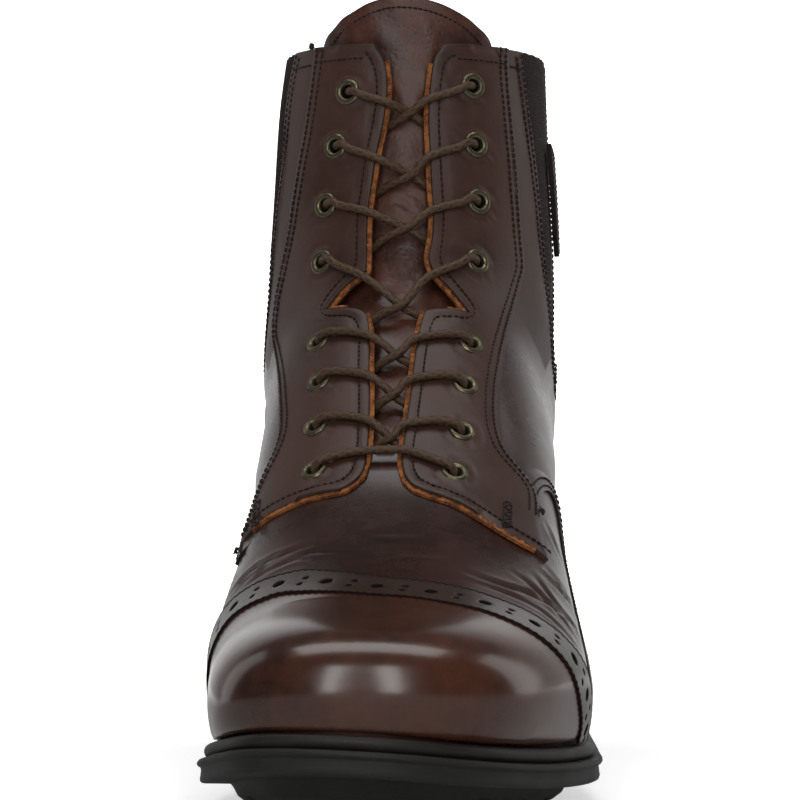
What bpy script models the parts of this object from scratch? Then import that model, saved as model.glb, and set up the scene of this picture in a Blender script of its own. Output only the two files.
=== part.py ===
# Paddock boot, left. Metres, +Z up, toe toward -Y, lateral side toward +X.
import math
import bpy
import bmesh
import numpy as np
from mathutils import Matrix, Vector

# sizes
MM = 0.001
LENGTH = 290 * MM
WIDTH = 101 * MM
SHAFT = 200 * MM
TREAD = 5.0 * MM
BAND = 6.8 * MM
BEAD = 3.8 * MM
TOE_SPRING = 7.4 * MM
TOE_TWIST = 0.05
HEEL_RISE = 15.0 * MM
HEEL_BREAST = 0.74
WALL = 2.0 * MM
GAP = 0.3 * MM
OVER = 0.6 * MM
FACING = 1.4 * MM
CAP = 1.0 * MM
BAND_STRIP = 1.4 * MM
LACE_R = 1.15 * MM
EYELET_R = 3.6 * MM
EYELET_HOLE = 2.1 * MM
EYELET_CLEAR = .42 * MM
TONGUE_DROP = 3.6 * MM
TONGUE_WALL = 1.8 * MM

# outsole outline: share of LENGTH from the toe, share of WIDTH across (lateral is +)
MEDIAL = (
    (0, -.085), (.0075, -.23), (.031, -.345), (.07, -.412), (.138, -.472), (.245, -.500), (.36, -.478),
    (.47, -.392), (.57, -.350), (.70, -.352), (.81, -.358), (.89, -.348), (.95, -.272), (.987, -.165), (1, -.04),
)
LATERAL = (
    (0, -.085), (.0085, .06), (.034, .175), (.075, .285), (.135, .378), (.205, .452), (.275, .497), (.37, .488),
    (.47, .452), (.59, .392), (.70, .335), (.81, .290), (.89, .268), (.95, .195), (.987, .088), (1, -.04),
)

# stations of the upper. Each is a plane through a base point and a crest point.
# base y, base z, crest y, crest z (shares of LENGTH, SHAFT; None follows the sole),
# crest x, base x, spread beyond the foot line medial and lateral (shares of WIDTH),
# height share of the widest point, roundness above it
STATIONS = (
    (.0828, None, .0179, None, -.0891, -.0891, None, None, .00, 2.15),
    (.0931, None, .0138, .1525, -.0891, -.0891, .0079, .0079, .05, 2.15),
    (.1069, None, .0166, .185, -.0891, -.0891, .0139, .0139, .12, 2.20),
    (.1241, None, .0293, .215, -.0842, -.0842, .0124, .0218, .18, 2.25),
    (.1448, None, .0552, .234, -.0792, -.0792, .0122, .0243, .24, 2.30),
    (.1724, None, .0966, .246, -.0693, -.0693, .0082, .0265, .30, 2.40),
    (.2069, None, .1483, .256, -.0600, -.0594, .0076, .0269, .34, 2.40),
    (.2414, None, .1966, .267, -.0545, -.0530, .0107, .0275, .34, 2.40),
    (.2759, None, .2414, .288, -.0545, -.0495, .0229, .0211, .32, 2.35),
    (.3172, None, .2828, .315, -.0545, -.0495, .0441, .0134, .30, 2.30),
    (.3621, None, .3276, .349, -.0545, -.0495, .0668, .0119, .32, 2.30),
    (.4103, None, .3724, .390, -.0545, -.0495, .0945, .0077, .34, 2.30),
    (.4655, None, .4138, .440, -.0545, -.0495, .1206, .0076, .38, 2.30),
    (.5276, None, .4552, .4975, -.0545, -.0495, .1326, .0091, .42, 2.30),
    (.6000, None, .4931, .5525, -.0545, -.0495, .1502, .0381, .450, 2.30),
    (.6828, None, .5276, .605, -.0545, -.0495, .1439, .0713, .480, 2.25),
    (.7724, None, .5517, .650, -.0545, -.0495, .1332, .0982, .526, 2.15),
    (.8621, None, .5690, .690, -.0545, -.0495, .1328, .1136, .569, 2.05),
    (.9379, None, .5810, .730, -.0545, -.0495, .2136, .1822, .606, 2.05),
    (.9846, .1530, .5897, .765, -.0545, -.0495, .4097, .4007, .630, 2.10),
    (.9925, .240, .5966, .800, -.0545, -.0495, .4055, .3993, .613, 2.15),
    (.9897, .340, .6017, .835, -.0545, -.0495, .4068, .3938, .593, 2.20),
    (.9741, .440, .6052, .8675, -.0545, -.0495, .4067, .3951, .565, 2.20),
    (.9621, .540, .6086, .8975, -.0545, -.0495, .4023, .3935, .536, 2.20),
    (.9569, .650, .6103, .925, -.0545, -.0495, .3967, .3885, .516, 2.20),
    (.9603, .760, .6121, .950, -.0545, -.0495, .3920, .3822, .504, 2.20),
    (.9655, .870, .6138, .975, -.0545, -.0495, .3836, .3750, .500, 2.20),
    (.9724, .985, .6138, 1.00, -.0545, -.0495, .3669, .3708, .500, 2.20),
)
# the first station behind the foot line, and the last one, at the collar
RING = [row[1] is not None for row in STATIONS].index(True)
TOP = len(STATIONS) - 1
COLUMNS = 25
FINE_T = 4 * (COLUMNS - 1) + 1
EASING = 24

# pattern pieces: (station, share of the way round from the crest; medial is -)
INNER_MEDIAL = (
    (27, -.058), (26, -.036), (24.6, -.028), (22.9, -.031), (21.5, -.038), (19.4, -.045), (18, -.052), (17.15, -.06),
    (16.9, -.098), (16.36, -.145), (15.92, -.105), (15.55, -.068), (14.9, -.06), (14, -.06), (13, -.058), (12, -.06),
    (11.4, -.075),
)
INNER_LATERAL = (
    (27, .092), (26.6, .066), (25.9, .055), (24.3, .046), (22.9, .041), (21.5, .040), (19.8, .040), (18.2, .045),
    (17.35, .05), (16.6, .088), (16.05, .136), (15.8, .095), (15.55, .052), (14.9, .045), (14, .041), (13.2, .039),
    (12.4, .034), (11.7, .032), (11.25, .05),
)
FACING_MEDIAL = INNER_MEDIAL + (
    (11.08, -.125), (11.1, -.19), (11.15, -.245), (11.22, -.305), (11.35, -.36), (11.5, -.42), (11.62, -.465),
    (11.45, -.505), (11.85, -.49), (12.25, -.45), (12.6, -.43), (12.9, -.39), (13.1, -.345), (13.6, -.315),
    (15, -.31), (17.3, -.31), (18.5, -.262), (19.7, -.218), (21.6, -.205), (24, -.203), (27, -.198),
)
FACING_LATERAL = INNER_LATERAL + (
    (11.0, .09), (10.78, .2), (10.5, .30), (10.4, .38), (10.5, .44), (10.55, .49), (11.0, .468), (11.6, .44),
    (12.25, .425), (12.5, .385), (12.6, .335), (12.85, .29), (13.8, .255), (15.7, .235), (17.7, .222),
    (19.8, .205), (21.9, .215), (24, .226), (27, .230),
)
GORE = (
    (27, .292), (25.6, .306), (24, .314), (21.5, .324), (20.2, .345), (19.3, .378), (19.05, .42), (19.5, .458),
    (20.6, .492), (22.6, .53), (24.9, .562), (27, .578),
)
PATCH = ((24.9, .405), (24.9, .455), (22.55, .478), (22.55, .425))
CAP_EDGE = (
    (8.6, -.985), (8.45, -.80), (8.3, -.72), (8.15, -.66), (8.1, -.60), (8.05, -.54), (7.9, -.48), (7.75, -.42),
    (7.6, -.34), (7.35, -.27), (7.05, -.16), (6.72, .01), (6.55, .135), (6.35, .24), (6.25, .35), (6.15, .42),
    (6.05, .50), (6.0, .58), (6.0, .66), (6.15, .76), (6.4, .85), (6.7, .92), (6.9, .985),
)
STRIP_EDGE = (
    (9.7, -.985), (9.5, -.80), (9.3, -.70), (9.2, -.62), (9.1, -.545), (8.95, -.49), (8.8, -.43), (8.65, -.37),
    (8.52, -.305), (8.4, -.245), (8.15, -.165), (7.75, .005), (7.6, .135), (7.5, .235), (7.38, .32), (7.25, .40),
    (7.15, .48), (7.05, .55), (7.0, .63), (7.1, .70), (7.3, .78), (7.6, .88), (7.8, .985),
)
EYELETS_MEDIAL = (
    (24.65, -.105), (22.25, -.115), (20.2, -.122), (18.25, -.138), (15.25, -.172), (14.1, -.18), (12.95, -.19),
    (11.9, -.202),
)
EYELETS_LATERAL = (
    (25.1, .135), (22.45, .125), (20.35, .121), (18.15, .13), (15.0, .158), (13.9, .168), (12.75, .178),
    (11.7, .176),
)
CROSSINGS = (
    (23.8, .025), (21.5, .017), (19.55, .010), (16.85, -.012), (14.75, .004), (13.5, .004), (12.4, -.014),
)

for old in list(bpy.data.objects):
    bpy.data.objects.remove(old, do_unlink=True)
parts = bpy.data.collections.new("paddock_boot")
cutters = bpy.data.collections.new("cutters")
bpy.context.scene.collection.children.link(parts)
bpy.context.scene.collection.children.link(cutters)


def material(name, color, rough, metal=0.0):
    made = bpy.data.materials.new(name)
    made.use_nodes = True
    shader = made.node_tree.nodes["Principled BSDF"]
    shader.inputs["Base Color"].default_value = (*color, 1)
    shader.inputs["Roughness"].default_value = rough
    shader.inputs["Metallic"].default_value = metal
    made.diffuse_color = (*color, 1)
    return made


def add(name, points, faces, mat=None, collection=parts):
    mesh = bpy.data.meshes.new(name)
    mesh.from_pydata([tuple(map(float, p)) for p in points], [], [tuple(map(int, f)) for f in faces])
    work = bmesh.new()
    work.from_mesh(mesh)
    bmesh.ops.recalc_face_normals(work, faces=work.faces)
    work.to_mesh(mesh)
    work.free()
    obj = bpy.data.objects.new(name, mesh)
    collection.objects.link(obj)
    if mat:
        mesh.materials.append(mat)
    if collection is cutters:
        obj.hide_render = True
        obj.display_type = "WIRE"
    return obj


def cut(obj, cutter):
    step = obj.modifiers.new("cut_" + cutter.name, "BOOLEAN")
    step.operation = "DIFFERENCE"
    step.solver = "EXACT"
    step.object = cutter


# the sole's outline and the height of its top

def closed_outline(dense=40):
    """The outline as a centripetal Catmull-Rom loop, and the index of its heel point. Columns: x, distance from toe."""
    loop = [(x * WIDTH, y * LENGTH) for y, x in MEDIAL + LATERAL[-2:0:-1]]
    p = np.array(loop)
    found = []
    for i in range(len(p)):
        a, b, c, d = p[i - 1], p[i], p[(i + 1) % len(p)], p[(i + 2) % len(p)]
        t1 = np.linalg.norm(b - a) ** .5
        t2 = t1 + np.linalg.norm(c - b) ** .5
        t3 = t2 + np.linalg.norm(d - c) ** .5
        for t in np.linspace(t1, t2, dense, endpoint=False):
            a1 = (t1 - t) / t1 * a + t / t1 * b
            a2 = (t2 - t) / (t2 - t1) * b + (t - t1) / (t2 - t1) * c
            a3 = (t3 - t) / (t3 - t2) * c + (t - t2) / (t3 - t2) * d
            b1 = (t2 - t) / t2 * a1 + t / t2 * a2
            b2 = (t3 - t) / (t3 - t1) * a2 + (t - t1) / (t3 - t1) * a3
            found.append((t2 - t) / (t2 - t1) * b1 + (t - t1) / (t2 - t1) * b2)
    return np.array(found), dense * (len(MEDIAL) - 1)


OUTLINE, HEEL_POINT = closed_outline()


def halves(inset):
    """The outline moved inwards by inset, as its medial and lateral halves from toe to heel."""
    along = np.roll(OUTLINE, -1, 0) - np.roll(OUTLINE, 1, 0)
    inward = np.stack([along[:, 1], -along[:, 0]], 1)
    inward /= np.linalg.norm(inward, axis=1)[:, None]
    if ((OUTLINE.mean(0) - OUTLINE) * inward).sum() < 0:
        inward = -inward
    by = inset(OUTLINE[:, 1] / LENGTH) if callable(inset) else np.full(len(OUTLINE), inset)
    p = OUTLINE + inward * by[:, None]
    return p[:HEEL_POINT + 1], np.vstack([p[HEEL_POINT:], p[:1]])[::-1]


def foot_inset(share):
    return np.interp(share, [0, .45, .7, 1], [5.4 * MM, 5.0 * MM, 4.6 * MM, 4.4 * MM])


def smooth(v):
    v = np.clip(v, 0, 1)
    return v * v * (3 - 2 * v)


def seat(x, y):
    """Height of the outsole's top; y is the distance from the toe."""
    share = np.asarray(y, float) / LENGTH
    ahead = np.clip((.269 - share) / .269, 0, 1.2) ** 1.8
    return TREAD + BAND + (TOE_SPRING - TOE_TWIST * np.asarray(x, float)) * ahead \
        + HEEL_RISE * smooth((share - .338) / .386)


FOOT_M, FOOT_L = halves(foot_inset)


def foot_x(y, side):
    half = FOOT_M if side < 0 else FOOT_L
    order = np.argsort(half[:, 1])
    return float(np.interp(y, half[order, 1], half[order, 0]))


# the upper's surface

def station_table():
    rows = []
    for k, (by, bz, cy, cz, cx, bx, wm, wl, mid, top) in enumerate(STATIONS):
        by, cy, cx, bx = by * LENGTH, cy * LENGTH, cx * WIDTH, bx * WIDTH
        if k >= RING:
            bz, fm, fl = bz * SHAFT, 0.0, 0.0
        else:
            bz, fm, fl = float(seat(bx, by)) + BEAD, bx - foot_x(by, -1), foot_x(by, 1) - bx
        if cz is None:
            cy = FOOT_M[0, 1]
            cz = (float(seat(cx, cy)) + BEAD) / SHAFT
        wm = fm + (wm or 0) * WIDTH
        wl = fl + (wl or 0) * WIDTH
        rows.append((by, bz, cy, cz * SHAFT, cx, bx, wm, wl, mid, top, fm, fl))
    return np.array(rows)


TABLE = station_table()


def section_at(u):
    p = TABLE
    q = np.vstack([2 * p[0] - p[1], p, 2 * p[-1] - p[-2]])
    i = min(int(u), len(p) - 2)
    f = u - i
    a, b, c, d = q[i], q[i + 1], q[i + 2], q[i + 3]
    r = .5 * (2 * b + (c - a) * f + (2 * a - 5 * b + 4 * c - d) * f ** 2 + (3 * b - a - 3 * c + d) * f ** 3)
    if u < RING:
        r[10] = max(0, r[5] - foot_x(r[0], -1))
        r[11] = max(0, foot_x(r[0], 1) - r[5])
        r[1] = float(seat(r[5], r[0])) + BEAD
        r[6] = max(r[6], r[10])
        r[7] = max(r[7], r[11])
    else:
        r[10] = r[11] = 0
    return r


def side_path(row, side, count=61):
    by, bz, cy, cz, cx, bx, wm, wl, mid, top, fm, fl = row
    w, f = (wm, fm) if side < 0 else (wl, fl)
    a = np.linspace(math.pi / 2, 0, count)
    x = w * np.cos(a) ** (2 / top)
    v = mid + (1 - mid) * np.sin(a) ** (2 / top)
    if mid > 1e-3:
        q = np.sin(np.linspace(0, math.pi / 2, count)[1:])
        x = np.concatenate([x, np.sqrt(np.maximum(w * w - (w * w - f * f) * q * q, 0))])
        v = np.concatenate([v, mid * (1 - q)])
    middle = bx + (cx - bx) * v
    px = middle + side * x
    py = by + (cy - by) * v
    pz = bz + (cz - bz) * v
    if f > 0:
        pz = pz + (seat(px, py) - seat(middle, py)) * (1 - v) ** 2
    return np.stack([px, py, pz], 1)


def tip_path(side):
    half = FOOT_M if side < 0 else FOOT_L
    p = half[:max(int(np.argmax(half[:, 1] > TABLE[0, 0])), 2) + 1]
    return np.stack([p[:, 0], p[:, 1], seat(p[:, 0], p[:, 1]) + BEAD], 1)


def spread(path, t):
    s = np.concatenate([[0], np.cumsum(np.linalg.norm(np.diff(path, axis=0), axis=1))])
    return np.stack([np.interp(t * s[-1], s, path[:, k]) for k in range(3)], 1)


def raw_skin(us, ts):
    med = ts < 0
    points = np.zeros((len(us), len(ts), 3))
    for i, u in enumerate(us):
        row = section_at(max(u, 1.0))
        points[i, med] = spread(side_path(row, -1), -ts[med])
        points[i, ~med] = spread(side_path(row, 1), ts[~med])
        if u < 1:
            points[i, med] = u * points[i, med] + (1 - u) * spread(tip_path(-1), -ts[med])
            points[i, ~med] = u * points[i, ~med] + (1 - u) * spread(tip_path(1), ts[~med])
    points[:, :, 1] -= LENGTH / 2
    return points


def skin():
    """The upper's surface on a fine grid of stations and shares, eased along the stations, and its outward normals."""
    us = np.linspace(0, TOP, TOP * 10 + 1)
    ts = np.linspace(-1, 1, FINE_T)
    points = raw_skin(us, ts)
    hold = np.clip((1 - np.abs(ts)) / .12, 0, 1)[None, :, None]
    keep = np.where((us > RING)[:, None, None], 1.0, hold)
    for _ in range(EASING):
        middle = (points[:-2] + points[2:]) / 2
        points[1:-1] += .5 * keep[1:-1] * (middle - points[1:-1])
    points[RING * 10:, 0] = points[RING * 10:, -1] = (points[RING * 10:, 0] + points[RING * 10:, -1]) / 2
    along = np.gradient(points, axis=0)
    around = np.gradient(points, axis=1)
    around[RING * 10:, 0] = around[RING * 10:, -1] = points[RING * 10:, 1] - points[RING * 10:, -2]
    normal = np.cross(around, along)
    normal /= np.linalg.norm(normal, axis=2)[..., None] + 1e-12
    if normal[TOP * 3, FINE_T // 2, 2] < 0:
        normal = -normal
    return points, normal


US = (0, .5, 1, 1.8, 2.7, 3.7, 4.8, 6, 7.1, 8.1, 9.1, 10.1, 11.1, 12.1, 13.1, 14.1, 15.2, 16.2, 17, 17.6, 18.1,
      18.5, 18.8, 19, 20.2, 21.8, 23.4, 25.2, 27)
TS = np.linspace(-1, 1, COLUMNS)
FINE, FINE_NORMAL = skin()
PICK = np.ix_([round(u * 10) for u in US], range(0, FINE_T, (FINE_T - 1) // (COLUMNS - 1)))
SKIN, NORMAL = FINE[PICK], FINE_NORMAL[PICK]


def place(u, t, off):
    """A point off the surface, read from the same grid that the upper is made of, so that pieces stay clear."""
    over = max(0.0, u - TOP)
    u = min(u, TOP)
    i = min(int(np.searchsorted(US, u, side="right")) - 1, len(US) - 2)
    j = min(int(np.searchsorted(TS, t, side="right")) - 1, len(TS) - 2)
    j = max(j, 0)
    f = (u - US[i]) / (US[i + 1] - US[i])
    g = (t - TS[j]) / (TS[j + 1] - TS[j])
    w = ((1 - f) * (1 - g), (1 - f) * g, f * (1 - g), f * g)
    at = ((i, j), (i, j + 1), (i + 1, j), (i + 1, j + 1))
    p = sum(k * SKIN[a] for k, a in zip(w, at))
    n = sum(k * NORMAL[a] for k, a in zip(w, at))
    n /= np.linalg.norm(n)
    if over:
        p = p + np.array([0, 0, 1.0]) * over * 5 * MM
    return p + n * off


def slab(name, outline, low, high, mat=None, collection=parts):
    """A plate over the surface inside an outline of (station, share), between two heights off it."""
    work = bmesh.new()
    ring = [work.verts.new((u, t, 0)) for u, t in outline]
    work.faces.new(ring)
    lines = [((u, 0, 0), (1, 0, 0)) for u in US[1:-1] + (TOP,)] + [((0, t, 0), (0, 1, 0)) for t in TS[1:-1]]
    for co, no in lines:
        geom = work.verts[:] + work.edges[:] + work.faces[:]
        bmesh.ops.bisect_plane(work, geom=geom, plane_co=co, plane_no=no, dist=1e-6)
    bmesh.ops.remove_doubles(work, verts=work.verts[:], dist=1e-5)
    bmesh.ops.triangulate(work, faces=work.faces[:])
    work.verts.index_update()
    flat = [(v.co.x, v.co.y) for v in work.verts]
    count = len(flat)
    points = [place(u, t, high) for u, t in flat] + [place(u, t, low) for u, t in flat]
    faces = []
    for face in work.faces:
        ids = [v.index for v in face.verts]
        faces.append(ids)
        faces.append([i + count for i in reversed(ids)])
    for edge in work.edges:
        if len(edge.link_faces) == 1:
            a, b = (v.index for v in edge.verts)
            faces.append((a, b, b + count, a + count))
    work.free()
    return add(name, points, faces, mat, collection)


def shrink(outline, by_u, by_t):
    """The outline drawn in toward its middle by a fixed amount each way."""
    mu = sum(u for u, t in outline) / len(outline)
    mt = sum(t for u, t in outline) / len(outline)
    return tuple((u - math.copysign(by_u, u - mu), t - math.copysign(by_t, t - mt)) for u, t in outline)


def mirrored(outline):
    return tuple((u, -t) for u, t in outline)


# materials
rubber = material("rubber", (.035, .038, .033), .6)
welt_rubber = material("welt_rubber", (.045, .045, .040), .55)
vamp_leather = material("vamp_leather", (.085, .030, .020), .3)
cap_leather = material("cap_leather", (.080, .028, .020), .28)
facing_leather = material("facing_leather", (.095, .045, .030), .45)
tongue_leather = material("tongue_leather", (.13, .042, .025), .45)
elastic = material("elastic", (.028, .018, .014), .85)
brass = material("aged_brass", (.20, .17, .11), .4, .9)
cord = material("waxed_cord", (.11, .065, .040), .6)
lining = material("insole_leather", (.30, .19, .11), .7)


# the sole: rings at insets and levels, capped with strips between the two sides

def ring_points(inset, level, count, start=0.0):
    """One closed ring, medial side toe to heel then lateral side heel to toe."""
    found = []
    for half in halves(inset):
        s = np.concatenate([[0], np.cumsum(np.linalg.norm(np.diff(half, axis=0), axis=1))])
        first = 0.0
        if start:
            first = float(np.interp(start * LENGTH, half[:, 1], s))
        at = np.linspace(first, s[-1], count)
        found.append(np.stack([np.interp(at, s, half[:, 0]), np.interp(at, s, half[:, 1])], 1))
    med, lat = found
    path = np.vstack([med, lat[-2:0:-1]] if not start else [med, lat[-2::-1]])
    z = level(path[:, 0], path[:, 1]) if callable(level) else np.full(len(path), level)
    return np.column_stack([path[:, 0], path[:, 1] - LENGTH / 2, z])


def cap_faces(first, count, total, start, upward):
    """Quads between matching points of the two sides."""
    faces = []
    last = total if start else total
    for k in range(count - 1):
        a, b = k, k + 1
        c, d = (last - k - 1 if start else last - k) % total, (last - k - 2 if start else last - k - 1) % total
        face = []
        for v in (a, b, d, c):
            if first + v not in face:
                face.append(first + v)
        if len(face) > 2:
            faces.append(face if upward else face[::-1])
    return faces


def stacked(name, rows, count, mat, start=0.0):
    points = []
    faces = []
    total = 0
    for inset, level in rows:
        ring = ring_points(inset, level, count, start)
        total = len(ring)
        points.extend(ring)
    for r in range(len(rows) - 1):
        for k in range(total):
            a, b = r * total + k, r * total + (k + 1) % total
            faces.append((a, b, b + total, a + total))
    faces += cap_faces(0, count, total, start, False)
    faces += cap_faces((len(rows) - 1) * total, count, total, start, True)
    return add(name, points, faces, mat)


def above(drop):
    """A level this far above the outsole's underside."""
    return lambda x, y: seat(x, y) - TREAD - BAND + drop


outsole = stacked("outsole", (
    (8.0 * MM, above(0)), (7.0 * MM, above(TREAD * .5)), (6.6 * MM, above(TREAD)), (1.6 * MM, above(TREAD)),
    (.7 * MM, above(TREAD + 1.2 * MM)), (1.0 * MM, above(TREAD + BAND * .68)), (0, above(TREAD + BAND * .8)),
    (.7 * MM, above(TREAD + BAND)),
), 28, rubber)

heel_top = lambda x, y: seat(x, y) - TREAD - BAND - GAP
heel = stacked("heel", (
    (4.2 * MM, 0.0), (3.4 * MM, 1.0 * MM), (2.8 * MM, 6.0 * MM), (2.2 * MM, heel_top),
), 14, rubber, HEEL_BREAST)


def bar(name, corners, low, high):
    """A straight-sided cutter from four plan corners (share of WIDTH, share of LENGTH)."""
    plan = [(x * WIDTH, (y - .5) * LENGTH) for x, y in corners]
    points = [(*p, low) for p in plan] + [(*p, high) for p in plan]
    faces = [(0, 1, 2, 3), (4, 5, 6, 7)] + [(k, (k + 1) % 4, (k + 1) % 4 + 4, k + 4) for k in range(4)]
    return add(name, points, faces, None, cutters)


# main lugs: the grooves between them run across the tread
for k, y in enumerate((.10, .165, .23, .31, .375, .44)):
    depth = 2.4 * MM + max(0.0, float(seat(0, y * LENGTH)) - TREAD - BAND)
    cutter = bar(f"groove_{k}", ((-.6, y + .012), (.6, y - .004), (.6, y + .010), (-.6, y + .026)), -5 * MM, depth)
    cut(outsole, cutter)
for k, y in enumerate((.80, .86, .92)):
    cutter = bar(f"heel_groove_{k}", ((-.6, y), (.6, y), (.6, y + .014), (-.6, y + .014)), -5 * MM, 2.4 * MM)
    cut(heel, cutter)


def welt_ring():
    rows = (
        (3.4 * MM, GAP), (2.5 * MM, 1.2 * MM), (2.5 * MM, 2.6 * MM), (3.3 * MM, 3.5 * MM),
        (lambda s: foot_inset(s) - .7 * MM, 3.5 * MM), (lambda s: foot_inset(s) - .7 * MM, GAP),
    )
    points = []
    faces = []
    for inset, level in rows:
        ring = ring_points(inset, above(TREAD + BAND + level), 34)
        points.extend(ring)
    total = len(ring)
    for r in range(len(rows)):
        for k in range(total):
            a, b = r * total + k, r * total + (k + 1) % total
            c = (r + 1) % len(rows) * total
            faces.append((a, b, c + (k + 1) % total, c + k))
    return add("welt", points, faces, welt_rubber)


welt = welt_ring()


def insole_inset(share):
    return foot_inset(share) + WALL + 1.3 * MM


insole = stacked("insole", (
    (insole_inset, above(TREAD + BAND + GAP)), (insole_inset, above(TREAD + BAND + 2.6 * MM)),
    (lambda s: insole_inset(s) + .8 * MM, above(TREAD + BAND + 3.2 * MM)),
), 22, lining)


# the upper: one hollow shell of the surface, standing on the outsole inside the welt

def upper_shell():
    nu, nt = len(US), len(TS)
    ring_row = US.index(RING)

    def vid(i, j):
        return i * nt + (0 if i >= ring_row and j == nt - 1 else j)

    size = nu * nt
    outer = SKIN.reshape(-1, 3)
    inner = (SKIN - NORMAL * WALL).reshape(-1, 3)
    points = list(outer) + list(inner)
    faces = []
    for i in range(nu - 1):
        for j in range(nt - 1):
            quad = (vid(i, j), vid(i, j + 1), vid(i + 1, j + 1), vid(i + 1, j))
            low, high = (0, 1), (2, 3)
            same = len(set(quad)) < 4
            ids = list(dict.fromkeys(quad)) if same else list(quad)
            faces.append(ids)
            faces.append([v + size for v in reversed(ids)])
    # collar rim
    for j in range(nt - 1):
        a, b = vid(nu - 1, j), vid(nu - 1, j + 1)
        faces.append((b, a, a + size, b + size))
    # the foot line, and the flange below it
    loop = [vid(i, 0) for i in range(ring_row, 0, -1)] + [vid(0, j) for j in range(nt)]
    loop += [vid(i, nt - 1) for i in range(1, ring_row)]
    lows = []
    for v in loop:
        p = outer[v].copy()
        n = NORMAL.reshape(-1, 3)[v].copy()
        n[2] = 0
        n /= np.linalg.norm(n)
        p[2] = float(seat(p[0], p[1] + LENGTH / 2)) + .8 * MM
        q = p - n * WALL
        q[2] = p[2]
        lows.append((len(points), len(points) + 1))
        points.append(p)
        points.append(q)
    count = len(loop)
    for k in range(count):
        m = (k + 1) % count
        faces.append((loop[k], loop[m], lows[m][0], lows[k][0]))
        faces.append((loop[m] + size, loop[k] + size, lows[k][1], lows[m][1]))
        faces.append((lows[k][0], lows[m][0], lows[m][1], lows[k][1]))
    used = sorted({v for face in faces for v in face})
    new = {v: k for k, v in enumerate(used)}
    return add("upper", [points[v] for v in used], [[new[v] for v in face] for face in faces], vamp_leather)


upper = upper_shell()


def past_top(outline):
    """The outline with its first and last points carried above the collar."""
    first, last = outline[0], outline[-1]
    return ((TOP + 1.2, first[1]),) + outline + ((TOP + 1.2, last[1]),)


throat = INNER_MEDIAL + ((11.05, -.05), (10.95, -.02), (10.95, .01)) + INNER_LATERAL[::-1]
cut(upper, slab("throat", past_top(throat), -4.4 * MM, 3.2 * MM, None, cutters))
cut(upper, slab("window_lateral", past_top(GORE), -3.6 * MM, 4.6 * MM, None, cutters))
cut(upper, slab("window_medial", past_top(mirrored(GORE)), -3.6 * MM, 4.6 * MM, None, cutters))


def gore_panel(name, outline):
    inner = shrink(outline, .07, .0035)
    inner = ((TOP - .1, inner[0][1]),) + inner[1:-1] + ((TOP - .1, inner[-1][1]),)
    return slab(name, inner, -1.7 * MM, -.2 * MM, elastic)


gore_panel("gore_medial", mirrored(GORE))
gore_panel("gore_lateral", GORE)
slab("side_patch", PATCH, .4 * MM, 2.0 * MM, facing_leather)

slab("facing_medial", FACING_MEDIAL, OVER, OVER + FACING, facing_leather)
slab("facing_lateral", FACING_LATERAL, OVER, OVER + FACING, facing_leather)


# toe cap and the punched strip behind it
def low_station(t, clear=1.5 * MM):
    """The first station at which the surface is this far above the foot line."""
    for u in np.arange(.1, 8, .05):
        x, y, z = place(u, t, 0)
        if z - float(seat(x, y + LENGTH / 2)) - BEAD > clear:
            return float(u)
    return 8.0


def cap_outline():
    front = [(low_station(t), t) for t in (.965, .93, .88, .8, .65, .45, .2, 0, -.2, -.45, -.65, -.8, -.88, -.93, -.965)]
    back = [(u - .06, t) for u, t in CAP_EDGE if abs(t) < .96]
    back = [(back[0][0], -.965)] + back + [(back[-1][0] + .1, .965)]
    return tuple(front) + tuple(back)


slab("toe_cap", cap_outline(), OVER, OVER + CAP, cap_leather)
slab("cap_strip", CAP_EDGE + STRIP_EDGE[::-1], OVER, OVER + BAND_STRIP, cap_leather)


# the tongue, under the facings and up past the collar
TONGUE = (
    (29.25, -.06), (29.5, 0), (29.55, .04), (29.25, .10), (28.3, .16), (27.2, .20), (25, .20), (22, .19), (19, .18),
    (16, .17), (14, .15), (12, .12), (10.4, .09), (10.2, 0), (10.4, -.11), (12, -.14), (14, -.17), (16, -.18),
    (19, -.185), (22, -.19), (25, -.195), (27.2, -.195), (28.3, -.14),
)
slab("tongue", TONGUE, -TONGUE_DROP - TONGUE_WALL, -TONGUE_DROP, tongue_leather)


# eyelets and laces

def frame_at(u, t, off):
    """Origin off the surface with the outward axis and two axes in the surface."""
    origin = place(u, t, off)
    out = place(u, t, off + MM) - origin
    out /= np.linalg.norm(out)
    up = place(u + .05, t, off) - place(u - .05, t, off)
    up -= out * up.dot(out)
    up /= np.linalg.norm(up)
    return origin, out, up, np.cross(up, out)


def eyelet(name, u, t):
    origin, out, up, across = frame_at(u, t, OVER + FACING + EYELET_CLEAR)
    profile = ((EYELET_HOLE, 0), (EYELET_R, 0), ((EYELET_R + EYELET_HOLE) / 2, .8 * MM))
    sides = 9
    points = []
    for k in range(sides):
        a = 2 * math.pi * k / sides
        spoke = up * math.cos(a) + across * math.sin(a)
        points.extend(origin + spoke * r + out * h for r, h in profile)
    faces = []
    for k in range(sides):
        for m in range(3):
            a, b = k * 3 + m, k * 3 + (m + 1) % 3
            c, d = (k + 1) % sides * 3 + (m + 1) % 3, (k + 1) % sides * 3 + m
            faces.append((a, b, c, d))
    return add(name, points, faces, brass)


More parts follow.
